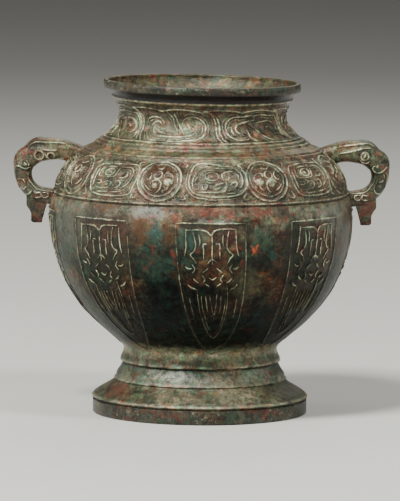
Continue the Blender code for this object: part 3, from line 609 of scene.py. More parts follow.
def inside(points, outline):
    """Which points lie inside a closed outline."""
    within = np.zeros(len(points), dtype=bool)
    for (x0, y0), (x1, y1) in zip(outline, np.roll(outline, -1, axis=0)):
        if y0 == y1:
            continue
        crosses = (points[:, 1] < y0) != (points[:, 1] < y1)
        across = x0 + (points[:, 1] - y0) / (y1 - y0) * (x1 - x0)
        within ^= crosses & (points[:, 0] < across)
    return within


def wandered(path):
    """A path with the slight waver of a hand-cut line."""
    drift = [unevenness(path, WANDER_LENGTH, level) for level in WANDER_LEVELS]
    return path + WANDER * np.stack(drift, axis=1)


def unevenness(path, length, level):
    """A smooth noise's values at flat points."""
    return np.array([noise.noise(Vector((x / length, y / length, level))) for x, y in path])


class Relief:
    """A flat sheet of raised strokes and domes; a kind of sheet says how it is laid out and wrapped."""

    def __init__(self, low, high, period, grid):
        self.low = low
        self.high = high
        self.period = period
        self.grid = grid
        self.edge_lift = 0.0
        self.edge_tint = 1.0
        self.points = []
        self.edges = []
        self.crests = []
        self.paths = []
        self.bosses = []
        self.fills = []

    def add_line(self, flat, closed):
        start = len(self.points)
        self.points.extend(map(tuple, flat))
        self.edges.extend((i, i + 1) for i in range(start, len(self.points) - 1))
        if closed:
            self.edges.append((len(self.points) - 1, start))

    def stroke(self, path, size=FINE, closed=False):
        """A raised stroke along a path: its foot lines, its crest lines and samples of its middle."""
        width, height = size
        path = wandered(spaced(rounded(np.array(path, dtype=float), closed), STROKE_SPACING, closed))
        self.paths.append((path, closed))
        halves = width / 2 * (1.0 + WIDTH_WAVER * unevenness(path, WANDER_LENGTH, WIDTH_LEVEL))
        if not closed:
            share = np.linspace(0.0, 1.0, len(path))
            share = np.clip(np.minimum(share, 1.0 - share) / TAPER_REACH, 0.0, 1.0)
            halves *= TAPER + (1.0 - TAPER) * np.sqrt(share)
        feet = [beside(path, side * halves, closed) for side in (1, -1)]
        crests = [beside(path, side * halves * CREST_SHARE, closed) for side in (1, -1)]
        if closed:
            self.add_line(feet[0], True)
            self.add_line(feet[1], True)
        else:
            front = path[-1:] + unit(path[-1:] - path[-2:-1]) * halves[-1]
            back = path[:1] + unit(path[:1] - path[1:2]) * halves[0]
            self.add_line(np.vstack([feet[0], front, feet[1][::-1], back]), True)
        for crest in crests:
            self.add_line(crest, closed)
        for x, y, half in spaced(np.column_stack([path, halves]), width / 4, closed):
            self.crests.append((x, y, half, height))

    def add_fillers(self):
        """Hair lines that follow the strokes wherever there is room between them."""
        tree, _ = self.crest_tree()
        drawn = np.zeros((0, 2))
        for path, closed in list(self.paths):
            for side in (1, -1):
                line = beside(path, side * FILLER_DISTANCE, closed)
                run = []
                for point in line:
                    shifted = (point[0] + self.period / 2) % self.period - self.period / 2
                    clear = tree.find((shifted, point[1], 0.0))[2] > FILLER_CLEARANCE
                    clear = clear and self.low + FILLER_CLEARANCE < point[1] < self.high - FILLER_CLEARANCE
                    if len(drawn):
                        clear = clear and np.linalg.norm(drawn - point, axis=1).min() > FILLER_CLEARANCE
                    if clear:
                        run.append(point)
                    if run and (not clear or point is line[-1]):
                        if len(run) * STROKE_SPACING > FILLER_LENGTH:
                            self.stroke(run[::2] + run[-1:], HAIR)
                            drawn = np.vstack([drawn, run])
                        run = []

    def dome(self, centre, radius, height, flatness=2.0):
        """A low dome, or a round pit where its height is negative."""
        for share in DOME_RINGS if radius < LARGE_DOME else DOME_RINGS[:1]:
            reach = radius * share
            line = oval(centre, reach, reach, max(6, round(2 * math.pi * reach / DOME_SPACING)))
            if share == DOME_RINGS[0]:
                self.add_line(line, True)
            else:
                self.points.extend(map(tuple, line))
        self.points.append(tuple(centre))
        self.bosses.append((np.array(centre), radius, height, flatness))

    def crest_tree(self):
        """A search tree of the strokes' middles, repeated past the sheet's seam."""
        rows = []
        reach = 4 * RECESS_REACH
        for x, y, half, height in self.crests:
            x = (x + self.period / 2) % self.period - self.period / 2
            rows.append((x, y, half, height))
            if x < reach - self.period / 2:
                rows.append((x + self.period, y, half, height))
            if x > self.period / 2 - reach:
                rows.append((x - self.period, y, half, height))
        tree = kdtree.KDTree(max(len(rows), 1))
        for i, (x, y, _, _) in enumerate(rows):
            tree.insert((x, y, 0.0), i)
        tree.balance()
        return tree, rows

    def heights(self, flat):
        """For each flat point: its lift, its share of a crest and how near it is to a stroke's foot."""
        tree, rows = self.crest_tree()
        lifts, ridges, recesses = np.zeros(len(flat)), np.zeros(len(flat)), np.zeros(len(flat))
        for i, (x, y) in enumerate(flat):
            for _, index, gap in tree.find_range((x, y, 0.0), RECESS_REACH + BROAD[0] / 2):
                _, _, half, height = rows[index]
                rise = min(1.0, max(0.0, (1.0 - gap / half) / (1.0 - CREST_SHARE)))
                ridges[i] = max(ridges[i], rise * min(1.0, height / FINE[1]))
                lifts[i] = max(lifts[i], height * rise)
                recesses[i] = max(recesses[i], 1.0 - max(0.0, gap - half) / RECESS_REACH)
        recesses *= 1.0 - ridges
        lifts *= 1.0 - WEAR * np.clip(0.5 + unevenness(flat, WEAR_LENGTH, WEAR_LEVEL), 0.0, 1.0)
        for centre, radius, height, flatness in self.bosses:
            offset = (flat - centre + (self.period / 2, 0.0)) % (self.period, 1e9) - (self.period / 2, 0.0)
            offset[:, 1] = flat[:, 1] - centre[1]
            share = np.linalg.norm(offset, axis=1) / radius
            swell = height * np.maximum(0.0, 1.0 - share ** flatness)
            lifts = np.where(share < 1.0, lifts + swell, lifts)
            if radius < LARGE_DOME:
                # a small dome's top takes the pale crest colour: worn patina and a painted highlight
                tint = np.sign(height) * DOME_WEAR_AND_HIGHLIGHT * np.maximum(0.0, 1.0 - share ** 4)
                ridges = np.maximum(ridges, tint)
        inwards = np.minimum(flat[:, 1] - self.low, self.high - flat[:, 1])
        ridges[inwards < RIDGE_WIDTH / 2] *= self.edge_tint
        lifts[inwards <= 1e-7] = self.edge_lift
        return lifts, ridges, recesses

    def reds(self, flat):
        """Which points lie in a patch where red oxide fills the ground."""
        red = np.zeros(len(flat))
        for outline in self.fills:
            for shift in (-self.period, 0.0, self.period):
                red[inside(flat - (shift, 0.0), outline)] = 1.0
        return red

    def grid_points(self):
        """Points of a staggered grid, clear of every stroke."""
        tree, rows = self.crest_tree()
        step = self.grid * math.sqrt(3) / 2
        count = max(2, round((self.high - self.low) / step))
        columns = max(6, round(self.period / self.grid))
        kept = []
        for j, y in enumerate(np.linspace(self.low, self.high, count + 1)[1:-1]):
            for k in range(columns):
                x = ((k + 0.5 * (j % 2) + 0.25) / columns - 0.5) * self.period
                if rows:
                    _, index, gap = tree.find((x, y, 0.0))
                    if gap < rows[index][2] + GRID_CLEARANCE:
                        continue
                if not any(math.dist((x, y), boss[0]) < boss[1] < LARGE_DOME for boss in self.bosses):
                    kept.append((x, y))
        return kept


class Zone(Relief):
    """A sheet round the vessel. It is laid out as a ring about the origin, so that it closes on itself."""

    def __init__(self, profile, low, high, radius, edged=False):
        super().__init__(low, high, 2 * math.pi * radius, GRID_SPACING)
        self.profile = profile
        self.radius = radius
        if edged:
            self.add_edges()

    def add_edges(self):
        """Half a ridge along each edge of the sheet, whose other half is a plain ring beside it."""
        self.edge_lift = RIDGE_HEIGHT
        self.edge_tint = RIDGE_TINT
        across = np.linspace(0.0, self.period, 2 * SIDES, endpoint=False)
        half = RIDGE_WIDTH / 2
        for edge, side in ((self.low, 1), (self.high, -1)):
            for share in (CREST_SHARE, 1.0):
                ups = np.full(len(across), edge + side * half * share)
                self.add_line(np.stack([across, ups], axis=1), True)
            samples = np.arange(0.0, self.period, half / 2)
            self.crests.extend((x, edge, half, RIDGE_HEIGHT) for x in samples)

    def stroke_around(self, up, size=BOLD, scallops=0, swing=0.0):
        """A raised line all the way round, at a height above the sheet's foot, straight or in scallops."""
        def height_at(across):
            arch = np.abs(np.sin(scallops * across / (2 * self.radius))) ** 0.7
            return self.low + up + swing * (2.0 * arch - 1.0)

        across = np.linspace(0.0, self.period, 2 * SIDES, endpoint=False)
        half = size[0] / 2
        for shift in (-half, -half * CREST_SHARE, half * CREST_SHARE, half):
            self.add_line(np.stack([across, height_at(across) + shift], axis=1), True)
        samples = np.arange(0.0, self.period, half / 2)
        self.crests.extend((x, y, half, size[1]) for x, y in zip(samples, height_at(samples)))

    def build(self, skin):
        columns = np.arange(SIDES) * 2 * math.pi / SIDES * self.radius
        for height in (self.low, self.high):
            self.add_line(np.stack([columns, np.full(SIDES, height)], axis=1), True)
        flat = np.array(self.points + self.grid_points())
        out = np.exp((flat[:, 1] - self.low) / self.radius)
        turns = flat[:, 0] / self.radius
        places = [Vector(p) for p in np.stack([out * np.cos(turns), out * np.sin(turns)], axis=1)]
        laid, _, faces, _, _, _ = delaunay_2d_cdt(places, self.edges, [], 0, 1e-6, False)
        laid = np.array([point.to_tuple() for point in laid])
        reach = np.linalg.norm(laid, axis=1)
        turns = np.arctan2(laid[:, 1], laid[:, 0])
        lengths = (self.low + self.radius * np.log(reach)).clip(self.low, self.high)
        flat = np.stack([turns * self.radius, lengths], axis=1)
        lifts, ridges, recesses = self.heights(flat)
        verts = around(self.profile.place(lengths, lifts), turns)
        hole = reach < 1.0 + 1e-5
        faces = [face for face in faces if not all(hole[i] for i in face)]
        skin.add(verts, faces, ridges, recesses, self.reds(flat))


class Skin:
    """Points and faces gathered from the sheets and plain rings, with how each point is to be tinted."""

    def __init__(self):
        self.verts = []
        self.faces = []
        self.tints = []
        self.inner = 0.0

    def add(self, verts, faces, ridges=0.0, recesses=0.0, reds=0.0):
        start = len(self.verts)
        self.verts.extend(map(tuple, verts))
        self.faces.extend(tuple(start + i for i in face) for face in faces)
        tints = np.zeros((len(verts), len(TINTS)))
        tints[:, 0], tints[:, 1], tints[:, 2] = ridges, recesses, reds
        tints[:, 3] = self.inner
        self.tints.extend(map(tuple, tints))

    def add_rings(self, stations, sides, ridges=0.0, recesses=0.0):
        """Bands of quads through rings at (radius, height) stations."""
        turns = np.arange(sides) * 2 * math.pi / sides
        stations = np.array(stations)
        count = len(stations)
        verts = around(np.repeat(stations, sides, axis=0), np.tile(turns, count))
        faces = []
        for j in range(count - 1):
            for k in range(sides):
                after = (k + 1) % sides
                faces.append((j * sides + k, j * sides + after, (j + 1) * sides + after, (j + 1) * sides + k))
        self.add(verts, faces, np.repeat(np.broadcast_to(ridges, count), sides),
                 np.repeat(np.broadcast_to(recesses, count), sides))

    def add_thinning(self, fine, coarse):
        """A band from a ring of SIDES points to one of INNER_SIDES points."""
        turns = np.arange(SIDES) * 2 * math.pi / SIDES
        outer = around(np.tile(fine, (SIDES, 1)), turns)
        inner = around(np.tile(coarse, (INNER_SIDES, 1)), turns[::2])
        faces = []
        for k in range(INNER_SIDES):
            a, b, c = 2 * k, 2 * k + 1, (2 * k + 2) % SIDES
            near, far = SIDES + k, SIDES + (k + 1) % INNER_SIDES
            faces.extend([(a, b, near), (b, far, near), (b, c, far)])
        self.add(np.vstack([outer, inner]), faces)

    def add_disc(self, stations):
        """Rings that close in a middle point."""
        self.add_rings(stations, INNER_SIDES)
        turns = np.arange(INNER_SIDES) * 2 * math.pi / INNER_SIDES
        edge = around(np.tile(stations[-1], (INNER_SIDES, 1)), turns)
        middle = np.array([[0.0, 0.0, edge[:, 2].mean()]])
        faces = [(k, (k + 1) % INNER_SIDES, INNER_SIDES) for k in range(INNER_SIDES)]
        self.add(np.vstack([edge, middle]), faces)

    def to_object(self, name):
        mesh = bmesh.new()
        data = bpy.data.meshes.new(name)
        data.from_pydata(self.verts, [], self.faces)
        mesh.from_mesh(data)
        bmesh.ops.remove_doubles(mesh, verts=mesh.verts, dist=2e-6)
        bmesh.ops.dissolve_degenerate(mesh, edges=mesh.edges, dist=1e-6)
        bmesh.ops.recalc_face_normals(mesh, faces=mesh.faces)
        mesh.to_mesh(data)
        mesh.free()
        item = bpy.data.objects.new(name, data)
        bpy.context.collection.objects.link(item)
        return item


def lappet(half_width, length, fullness, steps):
    """A hanging blade's outline about the middle of its top edge."""
    share = np.sin(np.linspace(0.0, math.pi / 2, steps + 1))
    half = half_width * (1.0 - share ** fullness) ** 0.5
    side = np.stack([half, -share * length], axis=1)
    return np.vstack([side, (side * (-1.0, 1.0))[-2::-1]])


def add_blade(zone, centre, lean, mirror):
    """A hanging blade: its outline and all the strokes within."""
    top = zone.high - BLADE_TOP_GAP
    length = top - zone.low - BLADE_TIP_GAP

    def placed(path, scale=MM):
        path = np.array(path, dtype=float) * scale
        sideways = lean * np.clip(-path[:, 1] / length, 0.0, 1.0) ** 1.5
        return path * (mirror, 1.0) + np.stack([centre + sideways, np.full(len(path), top)], axis=1)

    outline = lappet(BLADE_HALF_WIDTH, length, BLADE_FULLNESS, 40)
    corner = outline[:1]
    zone.stroke(placed(spaced(outline, 2 * STROKE_SPACING, False), 1.0), SOFT)
    zone.stroke(placed(np.vstack([outline[-1:], corner]), 1.0), BOLD)
    for stroke in BLADE_STROKES:
        zone.stroke(placed(stroke))
    for side in (1, -1):
        for stroke in BLADE_PAIRS:
            zone.stroke(placed(np.array(stroke) * (side, 1.0)))
        for stroke in BLADE_BOLD_PAIRS:
            zone.stroke(placed(np.array(stroke) * (side, 1.0)), BROAD)
    zone.fills.append(placed(BLADE_FILL))


def add_cartouche(zone, centre, frame_line, strokes, eye):
    """A cartouche with a dragon's mask in it."""
    def placed(path):
        return np.array(path, dtype=float) * MM + centre

    zone.stroke(placed(frame_line), BOLD, closed=True)
    for stroke in strokes:
        zone.stroke(placed(stroke))
    across, up, half_width, half_height = eye
    zone.stroke(placed(oval((across, up), half_width, half_height)), BOLD, closed=True)
    zone.dome(placed([(across, up)])[0], PUPIL_SHARE * half_height * MM, PUPIL_HEIGHT)


def add_roundel(zone, centre, mirror, drop):
    """A roundel: two rings and a coiled creature on a swelling disc. No filler lines follow its strokes."""
    def placed(path):
        return np.array(path, dtype=float) * MM * (mirror, 1.0) + centre

    first = len(zone.paths)
    zone.stroke(placed(oval((0.0, 0.0), ROUNDEL_OUTER, ROUNDEL_OUTER, 40)), BOLD, closed=True)
    zone.stroke(placed(oval(ROUNDEL_MIDDLE, ROUNDEL_INNER, ROUNDEL_INNER, 32)), HAIR, closed=True)
    for stroke in ROUNDEL_STROKES:
        zone.stroke(placed(stroke))
    across, up, radius = ROUNDEL_RING
    zone.stroke(placed(oval((across, up), radius, radius)), closed=True)
    for across, up, radius, height in (ROUNDEL_DISC, ROUNDEL_SWELL, drop):
        zone.dome(placed([(across, up)])[0], radius * MM, height)
    for side in (1, -1):
        for stroke in FILLER_PAIRS:
            zone.stroke(placed(np.array(stroke) * (side, 1.0)))
    zone.fills.append(placed(oval(ROUNDEL_MIDDLE, ROUNDEL_FILL, ROUNDEL_FILL)))
    del zone.paths[first:]


def make_belly(profile):
    zone = Zone(profile, profile.length_at(WAIST), profile.length_at(SHOULDER) - RIDGE_WIDTH, BELLY_RADIUS)
    for k in range(BLADE_COUNT):
        turn = math.radians(BLADE_TURN + 360.0 * k / BLADE_COUNT)
        lean = BLADE_LEAN * max(0.0, math.cos(2 * (turn - math.radians(LEAN_TURN))))
        add_blade(zone, turn * zone.radius, lean, -1 if k in BLADES_MIRRORED else 1)
    return zone


def make_shoulder(profile):
    low = profile.length_at(SHOULDER)
    high = profile.length_at(SHOULDER_TOP) - RIDGE_WIDTH / 2
    zone = Zone(profile, low, high, profile.place((low + high) / 2)[0, 0], edged=True)
    for k in range(BAND_UNIT_COUNT):
        turn = math.radians(BAND_TURN + 360.0 * k / BAND_UNIT_COUNT)
        centre = np.array((turn * zone.radius, (low + high) / 2))
        odd = k % 2 == 1
        add_cartouche(zone, centre, *(CARTOUCHE_KINDS[1] if odd else CARTOUCHE_KINDS[0]))
        half_step = math.pi / BAND_UNIT_COUNT * zone.radius
        add_roundel(zone, centre + (half_step, 0.0), 1 if odd else -1, ROUNDEL_DROPS[0 if odd else 1])
    zone.add_fillers()
    return zone


def make_neck(profile):
    zone = Zone(profile, profile.length_at(NECK_FOOT) + 2 * RIDGE_WIDTH,
                profile.length_at(NECK_TOP) - RIDGE_WIDTH, NECK_RADIUS)
    turns = []
    for k in range(NECK_UNIT_COUNT + 1):
        turn = 360.0 * k / NECK_UNIT_COUNT
        turns.append(math.radians(turn + NECK_TURN + NECK_SPREAD * math.sin(math.radians(turn))))
    for k in range(NECK_UNIT_COUNT):
        start = turns[k] * zone.radius
        scale = (turns[k + 1] - turns[k]) * zone.radius / NECK_UNIT_SPAN
        for strokes, size in ((NECK_DIVIDER, BROAD), (NECK_A if k % 2 == 0 and k else NECK_B, BOLD)):
            for stroke in strokes:
                zone.stroke(np.array(stroke) * (scale, MM) + (start, zone.low), size)
    zone.stroke_around(NECK_TOP_LINE * MM, BOLD, NECK_SCALLOPS, NECK_SCALLOP_SWING * MM)
    zone.stroke_around(NECK_BOTTOM_LINE * MM)
    zone.add_fillers()
    return zone


def add_moulding(skin, profile, start, end, shape):
    """A moulding between two lengths along the profile."""
    lifts, ridges, recesses = shape
    stations = profile.place(np.linspace(start, end, len(lifts)), RIDGE_HEIGHT * np.array(lifts))
    skin.add_rings(stations, SIDES, ridges, recesses)


def make_shell():
    """The whole vessel without its handles: outside, lip, inside, floor and the hollow of the foot."""
    profile = Profile(joined(foot_profile(PROFILE_STEP) + belly_profile(PROFILE_STEP)
                             + shoulder_profile(PROFILE_STEP) + neck_profile(PROFILE_STEP)
                             + lip_profile(PROFILE_STEP)))
    skin = Skin()
    belly, shoulder, neck = make_belly(profile), make_shoulder(profile), make_neck(profile)
    foot = profile.points[profile.lengths < belly.low - 1e-6]
    skin.add_rings(np.vstack([foot, profile.place(belly.low)]), SIDES)
    belly.build(skin)
    add_moulding(skin, profile, belly.high, shoulder.low, SHOULDER_GROOVE)
    shoulder.build(skin)
    fall_end = shoulder.high + 2 * RIDGE_WIDTH
    ridges_start = neck.low - 3 * RIDGE_WIDTH
    add_moulding(skin, profile, shoulder.high, fall_end, SHOULDER_FALL)
    skin.add_rings(profile.place(np.linspace(fall_end, ridges_start, PLAIN_BAND_RINGS)), SIDES)
    add_moulding(skin, profile, ridges_start, neck.low, NECK_FOOT_RIDGES)
    neck.build(skin)
    ring_end = neck.high + 2 * RIDGE_WIDTH
    add_moulding(skin, profile, neck.high, ring_end, NECK_RING)
    lip = profile.points[profile.lengths > ring_end + 1e-6]
    skin.add_rings(np.vstack([profile.place(ring_end), lip]), SIDES)
    add_underside(skin, tuple(foot[0]))
    skin.inner = 1.0
    add_inside(skin, tuple(lip[-1]))
    return skin


def inset(points, distance, spacing):
    """A profile moved square inwards by a distance, with its points spaced out."""
    along = unit(np.vstack([points[1:2] - points[:1], points[2:] - points[:-2], points[-1:] - points[-2:-1]]))
    moved = points - np.stack([along[:, 1], -along[:, 0]], axis=1) * distance
    kept = [moved[0]]
    for point in moved[1:]:
        if math.dist(point, kept[-1]) > spacing:
            kept.append(point)
    return np.array(kept)


def add_inside(skin, rim):
    """The lip's flat top and the inside of the wall down to the middle of the floor."""
    inner = inset(joined(belly_profile(INNER_STEP) + shoulder_profile(INNER_STEP) + neck_profile(INNER_STEP)),
                  WALL, 0.8 * INNER_STEP)
    inner = inner[inner[:, 1] > INNER_FLOOR + WALL][::-1]
    *edge, below = beside_corner(MOUTH_RADIUS - LIP_WIDTH, TOP, MOUTH_EDGE)
    skin.add_rings([rim, (MOUTH_RADIUS - LIP_FLAT, TOP)] + edge, SIDES)
    skin.add_thinning(edge[-1], below)
    floor = WAIST_RADIUS - WALL
    stations = [below] + [tuple(point) for point in inner] + [(floor, INNER_FLOOR + FLOOR_EDGE)]
    skin.add_disc(stations + [(share * floor, INNER_FLOOR) for share in FLOOR_RINGS])


def add_underside(skin, edge):
    """The foot's flat edge and the hollow under the vessel's floor."""
    inner = inset(joined(foot_profile(INNER_STEP)), WALL, 0.6 * INNER_STEP)
    inner = inner[(inner[:, 1] > HOLLOW_START) & (inner[:, 1] < FOOT_CEILING - WALL)]
    *flat, start = beside_corner(FOOT_RADIUS - WALL, 0.0, HOLLOW_EDGE)
    skin.add_rings([edge] + flat, SIDES)
    skin.add_thinning(flat[-1], start)
    ceiling = WAIST_RADIUS - WALL
    stations = [start] + [tuple(point) for point in inner] + [(ceiling - CEILING_EDGE, FOOT_CEILING)]
    skin.add_disc(stations + [(share * ceiling, FOOT_CEILING) for share in CEILING_RINGS])


class Strip(Relief):
    """A handle's skin, cut open along the side of its hole and laid flat."""

    def __init__(self, side):
        self.path = loop_line()
        gaps = np.linalg.norm(np.diff(self.path[:, :2], axis=0), axis=1)
        self.steps = np.concatenate([[0.0], np.cumsum(gaps)])
        super().__init__(0.0, self.steps[-1], 2 * math.pi * LOOP_GIRTH_RADIUS, LOOP_SPACING)
        self.side = side

    def section(self, lengths, turns):
        """Places and outward directions at lengths along the loop and turns around its section."""
        where = np.stack([np.interp(lengths, self.steps, self.path[:, i]) for i in range(4)], axis=1)
        nudge = 0.0015
        ends = [np.stack([np.interp((lengths + shift).clip(0, self.high), self.steps, self.path[:, i])
                          for i in (0, 1)], axis=1) for shift in (nudge, -nudge)]
        along = unit(ends[0] - ends[1])
        across, deep = np.cos(turns), np.sin(turns)
        power = LOOP_SQUARENESS
        size = (np.abs(across) ** power + np.abs(deep) ** power) ** (-1.0 / power)
        thick, depth = where[:, 2] - LOOP_MARGIN, where[:, 3]
        out, side = thick * across * size, depth * deep * size
        normal = unit(np.stack([np.sign(across) * np.abs(across * size) ** (power - 1) / thick,
                                np.sign(deep) * np.abs(deep * size) ** (power - 1) / depth], axis=1))
        return where[:, :2], along, out, side, normal

    def wrap(self, flat, lifts):
        turns = flat[:, 0] / LOOP_GIRTH_RADIUS
        centre, along, out, side, normal = self.section(flat[:, 1], turns)
        out = out + lifts * normal[:, 0]
        side = side + lifts * normal[:, 1]
        return np.stack([self.side * (centre[:, 0] - along[:, 1] * out), side,
                         centre[:, 1] + along[:, 0] * out], axis=1)

    def flat_place(self, place, face):
        """The flat place of a (distance, height) point seen on the front face, or on the back one."""
        place = np.array(place) * MM
        gaps = np.linalg.norm(self.path[:, :2] - place, axis=1)
        near = int(gaps.argmin())
        length = self.steps[near]
        for _ in range(3):
            centre, along, _, _, _ = self.section(np.array([length]), np.array([0.0]))
            length = float(np.clip(length + (place - centre[0]) @ along[0], 0.0, self.high))
        centre, along, _, _, _ = self.section(np.array([length]), np.array([0.0]))
        offset = (place - centre[0]) @ np.array((-along[0, 1], along[0, 0]))
        turns = np.linspace(0.0, math.pi, 181)
        _, _, out, _, _ = self.section(np.full(181, length), turns)
        turn = float(np.interp(-offset, -out, turns))
        return face * turn * LOOP_GIRTH_RADIUS, length

    def draw(self, path, size=FINE, closed=False):
        """A stroke on both faces."""
        for face in (-1, 1):
            self.stroke([self.flat_place(place, face) for place in path], size, closed)

    def boss(self, place, radius, height):
        """A dome or pit on both faces."""
        for face in (-1, 1):
            self.dome(self.flat_place(place, face), radius * MM, height)

    def build(self, skin):
        half = self.period / 2
        seam = np.linspace(0.0, self.high, LOOP_SEAM_STEPS + 1)
        ends = np.linspace(-half, half, LOOP_END_STEPS + 1)
        border = ([(x, 0.0) for x in ends[:-1]] + [(half, y) for y in seam[:-1]]
                  + [(x, self.high) for x in ends[:0:-1]] + [(-half, y) for y in seam[:0:-1]])
        self.add_line(border, True)
        flat = [Vector(p) for p in self.points + [p for p in self.grid_points() if abs(p[0]) < half - 0.0006]]
        laid, _, faces, _, _, _ = delaunay_2d_cdt(flat, self.edges, [], 1, 1e-7, False)
        flat = np.array([point.to_tuple() for point in laid])
        inner = (np.abs(flat[:, 0]) <= half + 1e-6) & (flat[:, 1] >= -1e-6) & (flat[:, 1] <= self.high + 1e-6)
        faces = [face for face in faces if all(inner[i] for i in face)]
        lifts, ridges, recesses = self.heights(flat)
        lifts[np.abs(flat[:, 0]) > half - 1e-6] = 0.0
        verts = self.wrap(flat, lifts)
        skin.add(verts, faces, ridges, recesses, self.reds(flat))
        for height in (0.0, self.high):
            edge = self.wrap(np.array([(x, height) for x in ends[:-1]]), np.zeros(len(ends) - 1))
            middle = edge.mean(axis=0)[None]
            count = len(edge)
            skin.add(np.vstack([edge, middle]), [(k, (k + 1) % count, count) for k in range(count)])


def loop_line():
    """The loop's middle line with its thickness and depth, as a fine smooth run."""
    return spaced(rounded(np.array(LOOP_PATH), False), LOOP_PATH_SPACING, False)


def add_handle(skin, side):
    """A handle: the beast's head at its outer corner, with eyes, nostrils, brow and collar."""
    strip = Strip(side)
    left = side < 0
    for stroke in HANDLE_SHARED + (HANDLE_LEFT if left else HANDLE_RIGHT):
        strip.draw(stroke)
    strip.draw(COLLAR_LEFT if left else COLLAR_RIGHT, BOLD)
    for face in (-1, 1):
        strip.fills.append(np.array([strip.flat_place(place, face) for place in HANDLE_FILL]))
    for across, up, radius in (EYE_LEFT, EYE_SECOND) if left else (EYE_RIGHT,):
        strip.draw(oval((across, up), radius, radius, 16), BOLD, closed=True)
        strip.boss((across, up), radius - EYE_RIM, EYE_PIT_HEIGHT if left else EYE_DOME_HEIGHT)
    strip.boss(*NOSTRIL)
    strip.build(skin)


def add_tab(skin, side):
    """The tab that hangs under a handle: it narrows below its shoulder and flares out at its end."""
    outer = TAB_TOP_SHIFT + TAB_TOP_HALF_WIDTH
    inner = TAB_TOP_SHIFT - TAB_TOP_HALF_WIDTH
    outline = [(outer, TAB_TOP), (outer, TAB_SHOULDER), (TAB_HALF_WIDTH, TAB_WAIST),
               (TAB_HALF_WIDTH + TAB_FLARE, TAB_BOTTOM + TAB_FLARE_HEIGHT),
               (TAB_HALF_WIDTH - TAB_FLARE, TAB_BOTTOM), (TAB_FLARE - TAB_HALF_WIDTH, TAB_BOTTOM),
               (-TAB_HALF_WIDTH, TAB_WAIST), (inner, TAB_SHOULDER), (inner, TAB_TOP)]
    mesh = bmesh.new()
    ends = []
    for depth in (-TAB_DEPTH / 2, TAB_DEPTH / 2):
        places = [(side * (TAB_DISTANCE + across), depth, height) for across, height in outline]
        ends.append([mesh.verts.new(place) for place in places])
        mesh.faces.new(ends[-1])
    near, far = ends
    for k in range(len(outline)):
        after = (k + 1) % len(outline)
        mesh.faces.new((near[k], near[after], far[after], far[k]))
    bmesh.ops.bevel(mesh, geom=mesh.edges[:], offset=TAB_EDGE, segments=2, affect="EDGES", profile=0.6)
    bmesh.ops.triangulate(mesh, faces=mesh.faces)
    long_edges = [edge for edge in mesh.edges if edge.calc_length() > TAB_LONGEST_EDGE]
    bmesh.ops.subdivide_edges(mesh, edges=long_edges, cuts=1)
    bmesh.ops.triangulate(mesh, faces=mesh.faces)
    mesh.verts.index_update()
    faces = [[vert.index for vert in face.verts] for face in mesh.faces]
    skin.add([vert.co.to_tuple() for vert in mesh.verts], faces)
    mesh.free()


def make_core(profile_points):
    """A closed turning at the middle of the wall, which trims the handles' roots."""
    inner = inset(profile_points, WALL / 2, INNER_STEP)
    skin = Skin()
    skin.add_disc([tuple(point) for point in inner])
    turns = np.arange(INNER_SIDES) * 2 * math.pi / INNER_SIDES
    bottom = around(np.tile(inner[0], (INNER_SIDES, 1)), turns)
    middle = np.array([[0.0, 0.0, bottom[:, 2].mean()]])
    faces = [((k + 1) % INNER_SIDES, k, INNER_SIDES) for k in range(INNER_SIDES)]
    skin.add(np.vstack([bottom, middle]), faces)
    return skin.to_object("core")


def combined(item, tool, operation):
    """Joins or cuts an object with another one, which is then removed."""
    change = item.modifiers.new(operation.lower(), "BOOLEAN")
    change.object = tool
    change.operation = operation
    change.solver = "MANIFOLD"
    graph = bpy.context.evaluated_depsgraph_get()
    data = bpy.data.meshes.new_from_object(item.evaluated_get(graph))
    item.modifiers.clear()
    item.data = data
    bpy.data.objects.remove(tool, do_unlink=True)


def add_tints(item, skins):
    """Point attributes for the material, from the nearest point of the skins."""
    verts = [vert for skin in skins for vert in skin.verts]
    tints = [tint for skin in skins for tint in skin.tints]
    tree = kdtree.KDTree(len(verts))
    for i, vert in enumerate(verts):
        tree.insert(vert, i)
    tree.balance()
    found = np.array([tints[tree.find(vert.co)[1]] for vert in item.data.vertices])
    for i, name in enumerate(TINTS):
        layer = item.data.attributes.new(name, "FLOAT", "POINT")
        layer.data.foreach_set("value", found[:, i])


def make_vase(material):
    """The whole casting as one closed mesh."""
    shell = make_shell()
    handles, tabs = Skin(), Skin()
    for side in (-1, 1):
        add_handle(handles, side)
        add_tab(tabs, side)
    vase = shell.to_object("vase_casting")
    loops = handles.to_object("loops")
    outer = joined(belly_profile(INNER_STEP) + shoulder_profile(INNER_STEP))
    combined(loops, make_core(outer[outer[:, 1] > BELLY]), "DIFFERENCE")
    combined(vase, loops, "UNION")
    combined(vase, tabs.to_object("tabs"), "UNION")
    add_tints(vase, (shell, handles, tabs))
    vase.data.materials.clear()
    vase.data.materials.append(material)
    vase.data.shade_smooth()
    vase.data.set_sharp_from_angle(angle=math.radians(SHARP_ANGLE))
    return vase


